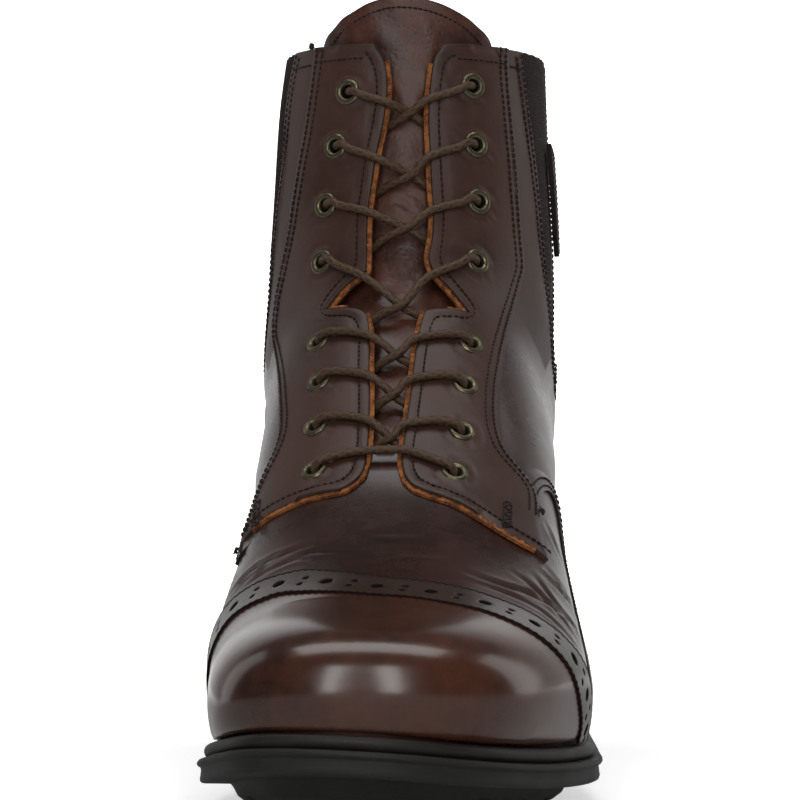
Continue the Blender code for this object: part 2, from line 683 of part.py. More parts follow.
def tube(points, radius, sides=5):
    """Points and faces of a round cord along a path, with flat ends."""
    points = np.array(points)
    along = np.gradient(points, axis=0)
    along /= np.linalg.norm(along, axis=1)[:, None]
    side = np.cross(along[0], (0, 0, 1.0))
    found = []
    for p, d in zip(points, along):
        side = side - d * side.dot(d)
        side /= np.linalg.norm(side)
        other = np.cross(d, side)
        for k in range(sides):
            a = 2 * math.pi * k / sides
            found.append(p + (side * math.cos(a) + other * math.sin(a)) * radius)
    faces = [tuple(range(sides)), tuple(range(len(found) - sides, len(found)))]
    for r in range(len(points) - 1):
        for k in range(sides):
            a, b = r * sides + k, r * sides + (k + 1) % sides
            faces.append((a, b, b + sides, a + sides))
    return found, faces


def curve(points, count):
    p = np.array(points)
    q = np.vstack([2 * p[0] - p[1], p, 2 * p[-1] - p[-2]])
    found = []
    for s in np.linspace(0, len(p) - 1, count):
        i = min(int(s), len(p) - 2)
        f = s - i
        a, b, c, d = q[i], q[i + 1], q[i + 2], q[i + 3]
        found.append(.5 * (2 * b + (c - a) * f + (2 * a - 5 * b + 4 * c - d) * f ** 2
                           + (3 * b - a - 3 * c + d) * f ** 3))
    return found


LIFT = 5.1 * MM


def edge_t(u, side):
    rows = INNER_MEDIAL if side < 0 else INNER_LATERAL
    # leave out the notch, so that a strand ends at the plain edge
    rows = [(a, t) for a, t in rows if abs(t) < .093 and not 15.6 < a < 17.1]
    us = np.array([a for a, t in rows])
    order = np.argsort(us)
    return float(np.interp(u, us[order], np.array([t for a, t in rows])[order]))


def strand_path(eye, crossing, high):
    """From inside an eyelet over its own edge, across the gap and down to the opposite edge."""
    (ue, te), (uc, tc) = eye, crossing
    side = 1 if te > 0 else -1
    near = edge_t(ue + (uc - ue) * .55, side)
    far_u = uc + (uc - ue) * .45
    far = edge_t(far_u, -side) + side * .017
    out = []
    out.append(place(ue, te, 2.7 * MM))
    step_u, step_t = (uc - ue) * .03, (tc - te) * .03
    out.append(place(ue + step_u * .6, te + step_t * .6, 4.1 * MM))
    out.append(place(ue + (uc - ue) * .18, te + (tc - te) * .22, LIFT))
    share = (near - te) / (tc - te)
    out.append(place(ue + (uc - ue) * share ** 1.15, near, 3.7 * MM))
    out.append(place(uc, tc, high))
    out.append(place(uc + (far_u - uc) * .75, tc + (far - tc) * .72, -1.2 * MM))
    out.append(place(far_u, far, -1.9 * MM))
    return out


def lace_piece(name, paths, segments):
    made = None
    for k, path in enumerate(paths):
        points, faces = tube(curve(path, segments), LACE_R)
        if made is None:
            made = add(name, points, faces, cord)
        else:
            extra = add(name + "_other", points, faces, None, cutters)
            step = made.modifiers.new("join", "BOOLEAN")
            step.operation = "UNION"
            step.solver = "EXACT"
            step.object = extra
    return made


for k, (left, right) in enumerate(zip(EYELETS_MEDIAL, EYELETS_LATERAL)):
    eyelet(f"eyelet_medial_{k + 1}", *left)
    eyelet(f"eyelet_lateral_{k + 1}", *right)
for k, crossing in enumerate(CROSSINGS):
    top = strand_path(EYELETS_LATERAL[k], crossing, 1.5 * MM)
    under = strand_path(EYELETS_MEDIAL[k], crossing, -.35 * MM)
    lace_piece(f"lace_crossing_{k + 1}", (top, under), 9)

(ul, tl), (ur, tr) = EYELETS_MEDIAL[7], EYELETS_LATERAL[7]
BAR_PATH = [
    place(ul, tl, 2.7 * MM), place(ul + .01, tl + .003, 4.1 * MM), place(ul + .08, tl + .05, LIFT),
    place(ul + .14, -.075, 4.4 * MM), place(ul + .15, 0, 4.0 * MM), place(ul + .14, .045, 4.2 * MM),
    place(ur + .18, tr - .05, LIFT), place(ur + .01, tr - .003, 4.1 * MM), place(ur, tr, 2.7 * MM),
]
lace_piece("lace_bar", (BAR_PATH,), 15)
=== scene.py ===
# Looks of the paddock boot, left. Metres, +Z up, toe toward -Y, lateral side toward +X.
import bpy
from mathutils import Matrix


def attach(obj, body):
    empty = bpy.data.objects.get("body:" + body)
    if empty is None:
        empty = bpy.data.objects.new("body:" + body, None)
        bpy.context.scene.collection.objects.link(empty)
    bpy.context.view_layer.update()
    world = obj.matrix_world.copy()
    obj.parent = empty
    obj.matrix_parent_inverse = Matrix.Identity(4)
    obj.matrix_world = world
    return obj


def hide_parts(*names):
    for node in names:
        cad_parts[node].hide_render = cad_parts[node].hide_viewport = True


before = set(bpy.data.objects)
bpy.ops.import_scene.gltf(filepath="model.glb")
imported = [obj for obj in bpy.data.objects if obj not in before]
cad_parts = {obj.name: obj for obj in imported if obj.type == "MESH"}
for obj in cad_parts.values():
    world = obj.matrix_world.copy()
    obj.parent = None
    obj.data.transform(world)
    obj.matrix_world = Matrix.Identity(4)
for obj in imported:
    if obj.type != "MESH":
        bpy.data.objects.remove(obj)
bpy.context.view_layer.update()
import math
import bmesh
import bpy
import numpy as np
from mathutils import Vector
from mathutils.geometry import delaunay_2d_cdt

# sizes
MM = 0.001
LENGTH = 290 * MM
WIDTH = 101 * MM
SHAFT = 200 * MM
TREAD = 5.0 * MM
BAND = 6.8 * MM
BEAD = 3.8 * MM
TOE_SPRING = 7.4 * MM
TOE_TWIST = 0.05
HEEL_RISE = 15.0 * MM
HEEL_BREAST = 0.74
WALL = 2.0 * MM
LACE_R = 1.15 * MM
LACE_SIDES = 18
EYELET_R = 3.6 * MM
EYELET_HOLE = 2.1 * MM

# outsole outline: share of LENGTH from the toe, share of WIDTH across (lateral is +)
MEDIAL = (
    (0, -.085), (.0075, -.23), (.031, -.345), (.07, -.412), (.138, -.472), (.245, -.500), (.36, -.478),
    (.47, -.392), (.57, -.350), (.70, -.352), (.81, -.358), (.89, -.348), (.95, -.272), (.987, -.165), (1, -.04),
)
LATERAL = (
    (0, -.085), (.0085, .06), (.034, .175), (.075, .285), (.135, .378), (.205, .452), (.275, .497), (.37, .488),
    (.47, .452), (.59, .392), (.70, .335), (.81, .290), (.89, .268), (.95, .195), (.987, .088), (1, -.04),
)

# stations of the upper. Each is a plane through a base point and a crest point.
# base y, base z, crest y, crest z (shares of LENGTH, SHAFT; None follows the sole),
# crest x, base x, spread beyond the foot line medial and lateral (shares of WIDTH),
# height share of the widest point, roundness above it
STATIONS = (
    (.0828, None, .0179, None, -.0891, -.0891, None, None, .00, 2.15),
    (.0931, None, .0138, .1525, -.0891, -.0891, .0079, .0079, .05, 2.15),
    (.1069, None, .0166, .185, -.0891, -.0891, .0139, .0139, .12, 2.20),
    (.1241, None, .0293, .215, -.0842, -.0842, .0124, .0218, .18, 2.25),
    (.1448, None, .0552, .234, -.0792, -.0792, .0122, .0243, .24, 2.30),
    (.1724, None, .0966, .246, -.0693, -.0693, .0082, .0265, .30, 2.40),
    (.2069, None, .1483, .256, -.0600, -.0594, .0076, .0269, .34, 2.40),
    (.2414, None, .1966, .267, -.0545, -.0530, .0107, .0275, .34, 2.40),
    (.2759, None, .2414, .288, -.0545, -.0495, .0229, .0211, .32, 2.35),
    (.3172, None, .2828, .315, -.0545, -.0495, .0441, .0134, .30, 2.30),
    (.3621, None, .3276, .349, -.0545, -.0495, .0668, .0119, .32, 2.30),
    (.4103, None, .3724, .390, -.0545, -.0495, .0945, .0077, .34, 2.30),
    (.4655, None, .4138, .440, -.0545, -.0495, .1206, .0076, .38, 2.30),
    (.5276, None, .4552, .4975, -.0545, -.0495, .1326, .0091, .42, 2.30),
    (.6000, None, .4931, .5525, -.0545, -.0495, .1502, .0381, .450, 2.30),
    (.6828, None, .5276, .605, -.0545, -.0495, .1439, .0713, .480, 2.25),
    (.7724, None, .5517, .650, -.0545, -.0495, .1332, .0982, .526, 2.15),
    (.8621, None, .5690, .690, -.0545, -.0495, .1328, .1136, .569, 2.05),
    (.9379, None, .5810, .730, -.0545, -.0495, .2136, .1822, .606, 2.05),
    (.9846, .1530, .5897, .765, -.0545, -.0495, .4097, .4007, .630, 2.10),
    (.9925, .240, .5966, .800, -.0545, -.0495, .4055, .3993, .613, 2.15),
    (.9897, .340, .6017, .835, -.0545, -.0495, .4068, .3938, .593, 2.20),
    (.9741, .440, .6052, .8675, -.0545, -.0495, .4067, .3951, .565, 2.20),
    (.9621, .540, .6086, .8975, -.0545, -.0495, .4023, .3935, .536, 2.20),
    (.9569, .650, .6103, .925, -.0545, -.0495, .3967, .3885, .516, 2.20),
    (.9603, .760, .6121, .950, -.0545, -.0495, .3920, .3822, .504, 2.20),
    (.9655, .870, .6138, .975, -.0545, -.0495, .3836, .3750, .500, 2.20),
    (.9724, .985, .6138, 1.00, -.0545, -.0495, .3669, .3708, .500, 2.20),
)
# the first station behind the foot line, and the last one, at the collar
RING = [row[1] is not None for row in STATIONS].index(True)
TOP = len(STATIONS) - 1
COLUMNS = 25
FINE_U = 10
FINE_T = 4 * (COLUMNS - 1) + 1
EASING = 24

# pattern pieces: (station, share of the way round from the crest; medial is -)
INNER_MEDIAL = (
    (27, -.058), (26, -.036), (24.6, -.028), (22.9, -.031), (21.5, -.038), (19.4, -.045), (18, -.052), (16.95, -.058),
    (16.65, -.098), (16.12, -.147), (15.85, -.105), (15.5, -.068), (14.9, -.06), (14, -.06), (13, -.058), (12, -.06),
    (11.4, -.075),
)
INNER_LATERAL = (
    (27, .092), (26.6, .066), (25.9, .055), (24.3, .046), (22.9, .041), (21.5, .040), (19.8, .040), (18.2, .045),
    (17.1, .048), (16.4, .092), (15.85, .138), (15.72, .095), (15.5, .052), (14.9, .045), (14, .041), (13.2, .039),
    (12.4, .034), (11.7, .032), (11.25, .05),
)
FACING_MEDIAL = INNER_MEDIAL + (
    (11.08, -.125), (11.1, -.19), (11.15, -.245), (11.22, -.305), (11.35, -.36), (11.5, -.42), (11.62, -.465),
    (11.45, -.505), (11.85, -.49), (12.25, -.45), (12.6, -.43), (12.9, -.39), (13.1, -.345), (13.6, -.315),
    (15, -.31), (17.3, -.31), (18.5, -.262), (19.7, -.218), (21.6, -.205), (24, -.203), (27, -.198),
)
FACING_LATERAL = INNER_LATERAL + (
    (11.0, .09), (10.78, .2), (10.5, .30), (10.4, .38), (10.5, .44), (10.55, .49), (11.0, .468), (11.6, .44),
    (12.25, .425), (12.5, .385), (12.6, .335), (12.85, .29), (13.8, .255), (15.7, .235), (17.7, .222),
    (19.8, .205), (21.9, .215), (24, .226), (27, .230),
)
GORE = (
    (27, .292), (25.6, .306), (24, .314), (21.5, .324), (20.2, .345), (19.3, .378), (19.05, .42), (19.5, .458),
    (20.6, .492), (22.6, .53), (24.9, .562), (27, .578),
)
PATCH = ((24.85, .408), (24.85, .455), (22.65, .476), (22.65, .427))
CAP_EDGE = (
    (8.6, -.985), (8.45, -.80), (8.3, -.72), (8.15, -.66), (8.1, -.60), (8.05, -.54), (7.9, -.48), (7.75, -.42),
    (7.6, -.34), (7.35, -.27), (7.05, -.16), (6.72, .01), (6.55, .135), (6.35, .24), (6.25, .35), (6.15, .42),
    (6.05, .50), (6.0, .58), (6.0, .66), (6.15, .76), (6.4, .85), (6.7, .92), (6.9, .985),
)
STRIP_EDGE = (
    (9.7, -.985), (9.5, -.80), (9.3, -.70), (9.2, -.62), (9.1, -.545), (8.95, -.49), (8.8, -.43), (8.65, -.37),
    (8.52, -.305), (8.4, -.245), (8.15, -.165), (7.75, .005), (7.6, .135), (7.5, .235), (7.38, .32), (7.25, .40),
    (7.15, .48), (7.05, .55), (7.0, .63), (7.1, .70), (7.3, .78), (7.6, .88), (7.8, .985),
)
EYELETS_MEDIAL = (
    (24.55, -.10), (22.15, -.108), (20.0, -.112), (17.95, -.131), (15.12, -.172), (13.97, -.178), (12.87, -.194),
    (11.77, -.203),
)
EYELETS_LATERAL = (
    (24.98, .128), (22.3, .117), (20.1, .109), (17.85, .122), (14.88, .156), (13.75, .163), (12.62, .175),
    (11.57, .174),
)

# the sole's outline and the height of its top

def closed_outline(dense=40):
    """The outline as a centripetal Catmull-Rom loop, and the index of its heel point. Columns: x, distance from toe."""
    loop = [(x * WIDTH, y * LENGTH) for y, x in MEDIAL + LATERAL[-2:0:-1]]
    p = np.array(loop)
    found = []
    for i in range(len(p)):
        a, b, c, d = p[i - 1], p[i], p[(i + 1) % len(p)], p[(i + 2) % len(p)]
        t1 = np.linalg.norm(b - a) ** .5
        t2 = t1 + np.linalg.norm(c - b) ** .5
        t3 = t2 + np.linalg.norm(d - c) ** .5
        for t in np.linspace(t1, t2, dense, endpoint=False):
            a1 = (t1 - t) / t1 * a + t / t1 * b
            a2 = (t2 - t) / (t2 - t1) * b + (t - t1) / (t2 - t1) * c
            a3 = (t3 - t) / (t3 - t2) * c + (t - t2) / (t3 - t2) * d
            b1 = (t2 - t) / t2 * a1 + t / t2 * a2
            b2 = (t3 - t) / (t3 - t1) * a2 + (t - t1) / (t3 - t1) * a3
            found.append((t2 - t) / (t2 - t1) * b1 + (t - t1) / (t2 - t1) * b2)
    return np.array(found), dense * (len(MEDIAL) - 1)


OUTLINE, HEEL_POINT = closed_outline()


def halves(inset):
    """The outline moved inwards by inset, as its medial and lateral halves from toe to heel."""
    along = np.roll(OUTLINE, -1, 0) - np.roll(OUTLINE, 1, 0)
    inward = np.stack([along[:, 1], -along[:, 0]], 1)
    inward /= np.linalg.norm(inward, axis=1)[:, None]
    if ((OUTLINE.mean(0) - OUTLINE) * inward).sum() < 0:
        inward = -inward
    by = inset(OUTLINE[:, 1] / LENGTH) if callable(inset) else np.full(len(OUTLINE), inset)
    p = OUTLINE + inward * by[:, None]
    return p[:HEEL_POINT + 1], np.vstack([p[HEEL_POINT:], p[:1]])[::-1]


def run_length(p):
    """The distance along a line of points, from its first one."""
    return np.concatenate([[0], np.cumsum(np.linalg.norm(np.diff(p, axis=0), axis=1))])


def foot_inset(share):
    return np.interp(share, [0, .45, .7, 1], [5.4 * MM, 5.0 * MM, 4.6 * MM, 4.4 * MM])


def smooth(v):
    v = np.clip(v, 0, 1)
    return v * v * (3 - 2 * v)


def seat(x, y):
    """Height of the outsole's top; y is the distance from the toe."""
    share = np.asarray(y, float) / LENGTH
    ahead = np.clip((.269 - share) / .269, 0, 1.2) ** 1.8
    return TREAD + BAND + (TOE_SPRING - TOE_TWIST * np.asarray(x, float)) * ahead \
        + HEEL_RISE * smooth((share - .338) / .386)


FOOT_M, FOOT_L = halves(foot_inset)


def foot_x(y, side):
    half = FOOT_M if side < 0 else FOOT_L
    order = np.argsort(half[:, 1])
    return float(np.interp(y, half[order, 1], half[order, 0]))


# the upper's surface

def station_table():
    rows = []
    for k, (by, bz, cy, cz, cx, bx, wm, wl, mid, top) in enumerate(STATIONS):
        by, cy, cx, bx = by * LENGTH, cy * LENGTH, cx * WIDTH, bx * WIDTH
        if k >= RING:
            bz, fm, fl = bz * SHAFT, 0.0, 0.0
        else:
            bz, fm, fl = float(seat(bx, by)) + BEAD, bx - foot_x(by, -1), foot_x(by, 1) - bx
        if cz is None:
            cy = FOOT_M[0, 1]
            cz = (float(seat(cx, cy)) + BEAD) / SHAFT
        wm = fm + (wm or 0) * WIDTH
        wl = fl + (wl or 0) * WIDTH
        rows.append((by, bz, cy, cz * SHAFT, cx, bx, wm, wl, mid, top, fm, fl))
    return np.array(rows)


TABLE = station_table()


def section_at(u):
    p = TABLE
    q = np.vstack([2 * p[0] - p[1], p, 2 * p[-1] - p[-2]])
    i = min(int(u), len(p) - 2)
    f = u - i
    a, b, c, d = q[i], q[i + 1], q[i + 2], q[i + 3]
    r = .5 * (2 * b + (c - a) * f + (2 * a - 5 * b + 4 * c - d) * f ** 2 + (3 * b - a - 3 * c + d) * f ** 3)
    if u < RING:
        r[10] = max(0, r[5] - foot_x(r[0], -1))
        r[11] = max(0, foot_x(r[0], 1) - r[5])
        r[1] = float(seat(r[5], r[0])) + BEAD
        r[6] = max(r[6], r[10])
        r[7] = max(r[7], r[11])
    else:
        r[10] = r[11] = 0
    return r


def side_path(row, side, count=61):
    by, bz, cy, cz, cx, bx, wm, wl, mid, top, fm, fl = row
    w, f = (wm, fm) if side < 0 else (wl, fl)
    a = np.linspace(math.pi / 2, 0, count)
    x = w * np.cos(a) ** (2 / top)
    v = mid + (1 - mid) * np.sin(a) ** (2 / top)
    if mid > 1e-3:
        q = np.sin(np.linspace(0, math.pi / 2, count)[1:])
        x = np.concatenate([x, np.sqrt(np.maximum(w * w - (w * w - f * f) * q * q, 0))])
        v = np.concatenate([v, mid * (1 - q)])
    middle = bx + (cx - bx) * v
    px = middle + side * x
    py = by + (cy - by) * v
    pz = bz + (cz - bz) * v
    if f > 0:
        pz = pz + (seat(px, py) - seat(middle, py)) * (1 - v) ** 2
    return np.stack([px, py, pz], 1)


def tip_path(side):
    half = FOOT_M if side < 0 else FOOT_L
    p = half[:max(int(np.argmax(half[:, 1] > TABLE[0, 0])), 2) + 1]
    return np.stack([p[:, 0], p[:, 1], seat(p[:, 0], p[:, 1]) + BEAD], 1)


def spread(path, t):
    s = run_length(path)
    return np.stack([np.interp(t * s[-1], s, path[:, k]) for k in range(3)], 1)


def raw_skin(us, ts):
    med = ts < 0
    points = np.zeros((len(us), len(ts), 3))
    for i, u in enumerate(us):
        row = section_at(max(u, 1.0))
        points[i, med] = spread(side_path(row, -1), -ts[med])
        points[i, ~med] = spread(side_path(row, 1), ts[~med])
        if u < 1:
            points[i, med] = u * points[i, med] + (1 - u) * spread(tip_path(-1), -ts[med])
            points[i, ~med] = u * points[i, ~med] + (1 - u) * spread(tip_path(1), ts[~med])
    points[:, :, 1] -= LENGTH / 2
    return points


def skin():
    """The upper's surface on a fine grid of stations and shares, eased along the stations, and its outward normals."""
    us = np.linspace(0, TOP, TOP * FINE_U + 1)
    ts = np.linspace(-1, 1, FINE_T)
    points = raw_skin(us, ts)
    hold = np.clip((1 - np.abs(ts)) / .12, 0, 1)[None, :, None]
    keep = np.where((us > RING)[:, None, None], 1.0, hold)
    for _ in range(EASING):
        middle = (points[:-2] + points[2:]) / 2
        points[1:-1] += .5 * keep[1:-1] * (middle - points[1:-1])
    ring = RING * FINE_U
    points[ring:, 0] = points[ring:, -1] = (points[ring:, 0] + points[ring:, -1]) / 2
    along = np.gradient(points, axis=0)
    around = np.gradient(points, axis=1)
    around[ring:, 0] = around[ring:, -1] = points[ring:, 1] - points[ring:, -2]
    normal = np.cross(around, along)
    normal /= np.linalg.norm(normal, axis=2)[..., None] + 1e-12
    if normal[TOP * 3, FINE_T // 2, 2] < 0:
        normal = -normal
    return points, normal


rng = np.random.default_rng(7)

POINTS, NORMALS = skin()


# reading the surface, and what the leather does on it

def taps(f):
    """Catmull-Rom weights of four neighbours."""
    return (-.5 * f + f * f - .5 * f ** 3, 1 - 2.5 * f * f + 1.5 * f ** 3,
            .5 * f + 2 * f * f - 1.5 * f ** 3, -.5 * f * f + .5 * f ** 3)


def read(grid, u, t):
    """A grid read smoothly at stations u and shares t."""
    rows, columns = grid.shape[:2]
    x = np.clip(u, 0, TOP) * FINE_U
    y = (np.clip(t, -1, 1) + 1) / 2 * (columns - 1)
    i = np.clip(x.astype(int), 0, rows - 2)
    j = np.clip(y.astype(int), 0, columns - 2)
    wi, wj = taps(x - i), taps(y - j)
    found = 0
    for a in range(4):
        ia = np.clip(i + a - 1, 0, rows - 1)
        for b in range(4):
            jb = np.clip(j + b - 1, 0, columns - 1)
            found = found + (wi[a] * wj[b])[:, None] * grid[ia, jb]
    return found


def outward(u, t):
    n = read(NORMALS, u, t)
    return n / np.linalg.norm(n, axis=1)[:, None]


def on_skin(u, t, off=0.0):
    """Points off the surface; past the collar the surface goes straight up."""
    u, t = np.asarray(u, float), np.asarray(t, float)
    p = read(POINTS, u, t)
    p[:, 2] += np.maximum(u - TOP, 0) * 5 * MM
    return p + outward(u, t) * np.reshape(off, (-1, 1))


def slopes(u, t):
    """How the surface point moves per station and per share."""
    du, dt = .02, .002
    ju = (on_skin(u + du, t) - on_skin(u - du, t)) / (2 * du)
    jt = (on_skin(u, np.minimum(t + dt, 1)) - on_skin(u, np.maximum(t - dt, -1))) / (2 * dt)
    return ju, jt


def spaced(path, step, closed=False):
    """A path of (station, share) at even steps of real length."""
    p = np.array(path, float)
    if closed:
        p = np.vstack([p, p[:1]])
    dense = np.linspace(0, len(p) - 1, max(len(p) * 12, 200))
    flat = np.stack([np.interp(dense, range(len(p)), p[:, k]) for k in range(2)], 1)
    real = on_skin(flat[:, 0], flat[:, 1])
    s = run_length(real)
    count = max(int(round(s[-1] / step)), 3)
    at = np.linspace(0, s[-1], count + 1)
    found = np.stack([np.interp(at, s, flat[:, k]) for k in range(2)], 1)
    return found[:-1] if closed else found


def rounded(path, closed=False, corner=50):
    """The path bent smoothly through its points, with the sharp corners kept."""
    p = np.array(path, float)
    q = np.stack([p[:, 1] * 150, p[:, 0] * 9], 1)
    n = len(p)
    sharp = []
    for k in range(n):
        if not closed and k in (0, n - 1):
            sharp.append(k)
            continue
        a, b = q[k] - q[k - 1], q[(k + 1) % n] - q[k]
        turn = abs(math.degrees(math.atan2(a[0] * b[1] - a[1] * b[0], a @ b)))
        if turn > corner:
            sharp.append(k)
    if closed:
        if not sharp:
            sharp = [0]
        p = np.vstack([p[sharp[0]:], p[:sharp[0]], p[sharp[0]:sharp[0] + 1]])
        sharp = [k - sharp[0] for k in sharp] + [n]
    found = []
    for a, b in zip(sharp[:-1], sharp[1:]):
        run = p[a:b + 1]
        ext = np.vstack([2 * run[0] - run[1], run, 2 * run[-1] - run[-2]])
        steps = np.linspace(0, len(run) - 1, (len(run) - 1) * 8 + 1)[:-1]
        for s in steps:
            i = int(s)
            w = taps(s - i)
            found.append(sum(w[k] * ext[i + k] for k in range(4)))
    if not closed:
        found.append(p[-1])
    return np.array(found)


def moved(path, distance, closed=False, ease=0):
    """The path moved to its left over the surface by a real distance; a share per point may be given."""
    p = np.array(path, float)
    for _ in range(ease):
        middle = (np.roll(p, 1, 0) + np.roll(p, -1, 0)) / 2
        if not closed:
            middle[0], middle[-1] = p[0], p[-1]
        p = (p + middle) / 2
    if closed:
        along = np.roll(p, -1, 0) - np.roll(p, 1, 0)
    else:
        along = np.gradient(p, axis=0)
    ju, jt = slopes(p[:, 0], p[:, 1])
    real = ju * along[:, :1] + jt * along[:, 1:]
    size = np.linalg.norm(real, axis=1)[:, None] + 1e-12
    metric = np.stack([np.linalg.norm(ju, axis=1), np.linalg.norm(jt, axis=1)], 1)
    left = np.stack([along[:, 1] * metric[:, 1] / metric[:, 0], -along[:, 0] * metric[:, 0] / metric[:, 1]], 1)
    over = ju * left[:, :1] + jt * left[:, 1:]
    share = (over * real).sum(1)[:, None] / size ** 2
    left = left - along * share
    over = over - real * share
    left /= np.linalg.norm(over, axis=1)[:, None] + 1e-12
    return p + left * np.reshape(distance, (-1, 1))


def mirrored(outline):
    """The same outline on the other side of the boot."""
    return [(u, -t) for u, t in outline]


def turning(path):
    """Twice the signed area of a closed path, counter-clockwise in (share, station) when positive."""
    x, y = path[:, 1], path[:, 0]
    return float((x * np.roll(y, -1) - np.roll(x, -1) * y).sum())


def turned(path, way):
    """The closed path in the asked direction: 1 is counter-clockwise, -1 clockwise."""
    return path if turning(path) * way >= 0 else path[::-1]


def between(a, b):
    """Quads between two closed rings of point numbers."""
    size = len(a)
    return [(a[k], b[k], b[(k + 1) % size], a[(k + 1) % size]) for k in range(size)]


def ringed(rows, size, closed=False):
    """Quads between rings of points that follow one another, and from the last to the first where closed."""
    return [(a * size + k, a * size + (k + 1) % size, b * size + (k + 1) % size, b * size + k)
            for a, b in ((r, (r + 1) % rows) for r in range(rows if closed else rows - 1)) for k in range(size)]


def grid_of(us, ts):
    return np.stack([np.repeat(us, len(ts)), np.tile(ts, len(us))], 1)


def inside(points, loop):
    """Which points are inside a closed path."""
    x, y = points[:, 1], points[:, 0]
    found = np.zeros(len(points), bool)
    for (ya, xa), (yb, xb) in zip(loop, np.roll(loop, -1, 0)):
        if ya == yb:
            continue
        hit = (ya > y) != (yb > y)
        found ^= hit & (x < (xb - xa) * (y - ya) / (yb - ya) + xa)
    return found


def from_line(points, line, closed=True):
    """Real distance of points to a path, and the place along it, both arrays of (n, 3)."""
    ends = np.vstack([line, line[:1]]) if closed else line
    a, b = ends[:-1], ends[1:]
    best = np.full(len(points), 1e9)
    along = np.zeros(len(points))
    step = b - a
    size = (step ** 2).sum(1) + 1e-18
    for k in range(len(a)):
        f = np.clip(((points - a[k]) @ step[k]) / size[k], 0, 1)
        d = ((points - a[k] - f[:, None] * step[k]) ** 2).sum(1)
        near = d < best
        best[near] = d[near]
        along[near] = (k + f[near]) / len(a)
    return np.sqrt(best), along


def triangulated(grid, loops, tall, wide):
    """Points, the triangles inside the first loop and outside the others, and the point numbers of each loop."""
    points = [Vector((t * wide, u * tall)) for u, t in np.vstack([grid] + list(loops))]
    starts = len(grid) + np.cumsum([0] + [len(loop) for loop in loops])
    edges = [(first + k, first + (k + 1) % len(loop)) for first, loop in zip(starts.tolist(), loops)
             for k in range(len(loop))]
    made = delaunay_2d_cdt(points, edges, [], 0, 1e-9)
    flat = np.array([(v.y / tall, v.x / wide) for v in made[0]])
    place_of = {v: k for k, sources in enumerate(made[3]) for v in sources}
    faces = np.array(list(made[2]))
    middle = flat[faces].mean(1)
    good = inside(middle, loops[0])
    for loop in loops[1:]:
        good &= ~inside(middle, loop)
    rims = [[place_of[first + k] for k in range(len(loop))] for first, loop in zip(starts.tolist(), loops)]
    return flat, faces[good], rims


def real_scale(loop):
    """The mean real length of one station and of one share, along a loop."""
    return np.array([np.linalg.norm(way, axis=1).mean() for way in slopes(*loop.T)])


def fill(loops, step, keep=.5):
    """Flat (station, share) points at even steps inside the first loop and outside the others, and triangles."""
    scale = real_scale(loops[0])
    lo, hi = loops[0].min(0), loops[0].max(0)
    grid = grid_of(*(np.linspace(lo[k], hi[k], max(int((hi[k] - lo[k]) * scale[k] / step), 2) + 1) for k in range(2)))
    good = inside(grid, loops[0])
    for loop in loops[1:]:
        good &= ~inside(grid, loop)
    grid = grid[good]
    for loop in loops:
        near = np.ones(len(grid), bool)
        lo, hi = loop.min(0) - step / scale, loop.max(0) + step / scale
        close = ((grid > lo) & (grid < hi)).all(1)
        d, _ = from_line(grid[close] * scale, loop * scale)
        near[np.flatnonzero(close)[d < keep * step]] = False
        grid = grid[near]
    return triangulated(grid, loops, *scale)


def piece(name, points, faces, mats, nodes=(), smooth_by=40, which=None, marks=None):
    """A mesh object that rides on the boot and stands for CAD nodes."""
    mesh = bpy.data.meshes.new(name)
    mesh.from_pydata(np.asarray(points, float).tolist(), [], [list(map(int, f)) for f in faces])
    for mat in mats:
        mesh.materials.append(mat)
    if which is not None:
        mesh.polygons.foreach_set("material_index", np.asarray(which, np.int32))
    for label, values in (marks or {}).items():
        layer = mesh.attributes.new(label, "FLOAT", "POINT")
        layer.data.foreach_set("value", np.asarray(values, np.float32))
    mesh.polygons.foreach_set("use_smooth", np.ones(len(mesh.polygons), bool))
    mesh.update()
    obj = bpy.data.objects.new(name, mesh)
    bpy.context.scene.collection.objects.link(obj)
    if smooth_by < 180:
        mesh.set_sharp_from_angle(angle=math.radians(smooth_by))
    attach(obj, "root")
    if nodes:
        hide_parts(*nodes)
    return obj


def plate_of(name, loops, low, high, step, mats, nodes, soft, relief, rim, cut_from, smooth_by):
    """Leather over the surface inside the first loop and outside the others. The rim's rows are (inset, height).
    Its faces take the second material, that of a cut, from the given one on."""
    flat, tris, rims = fill([moved(loop, soft, True) for loop in loops], step)
    real = on_skin(*flat.T)
    edge = np.full(len(flat), 1.0)
    for loop in loops:
        edge = np.minimum(edge, from_line(real, on_skin(*loop.T))[0])
    lift = relief(*flat.T, edge) if relief else np.zeros(len(flat))
    count = len(flat)
    points = [on_skin(*flat.T, high + lift), on_skin(*flat.T, low + lift * .5)]
    marks = [edge, edge]
    faces = [tuple(f) for f in tris] + [tuple(f[::-1] + count) for f in tris]
    which = [0] * len(faces)
    total = 2 * count
    for loop, ring in zip(loops, rims):
        ids = [ring]
        for inset, level in rim:
            points.append(on_skin(*(moved(loop, inset, True) if inset else loop).T, level + lift[ring]))
            marks.append(np.zeros(len(loop)))
            ids.append(list(range(total, total + len(loop))))
            total += len(loop)
        ids.append([r + count for r in ring])
        for r in range(len(ids) - 1):
            faces += between(ids[r], ids[r + 1])
            which += [int(r >= cut_from)] * len(loop)
    piece(name, np.vstack(points), faces, mats, nodes, smooth_by, which, {"edge": np.concatenate(marks)})


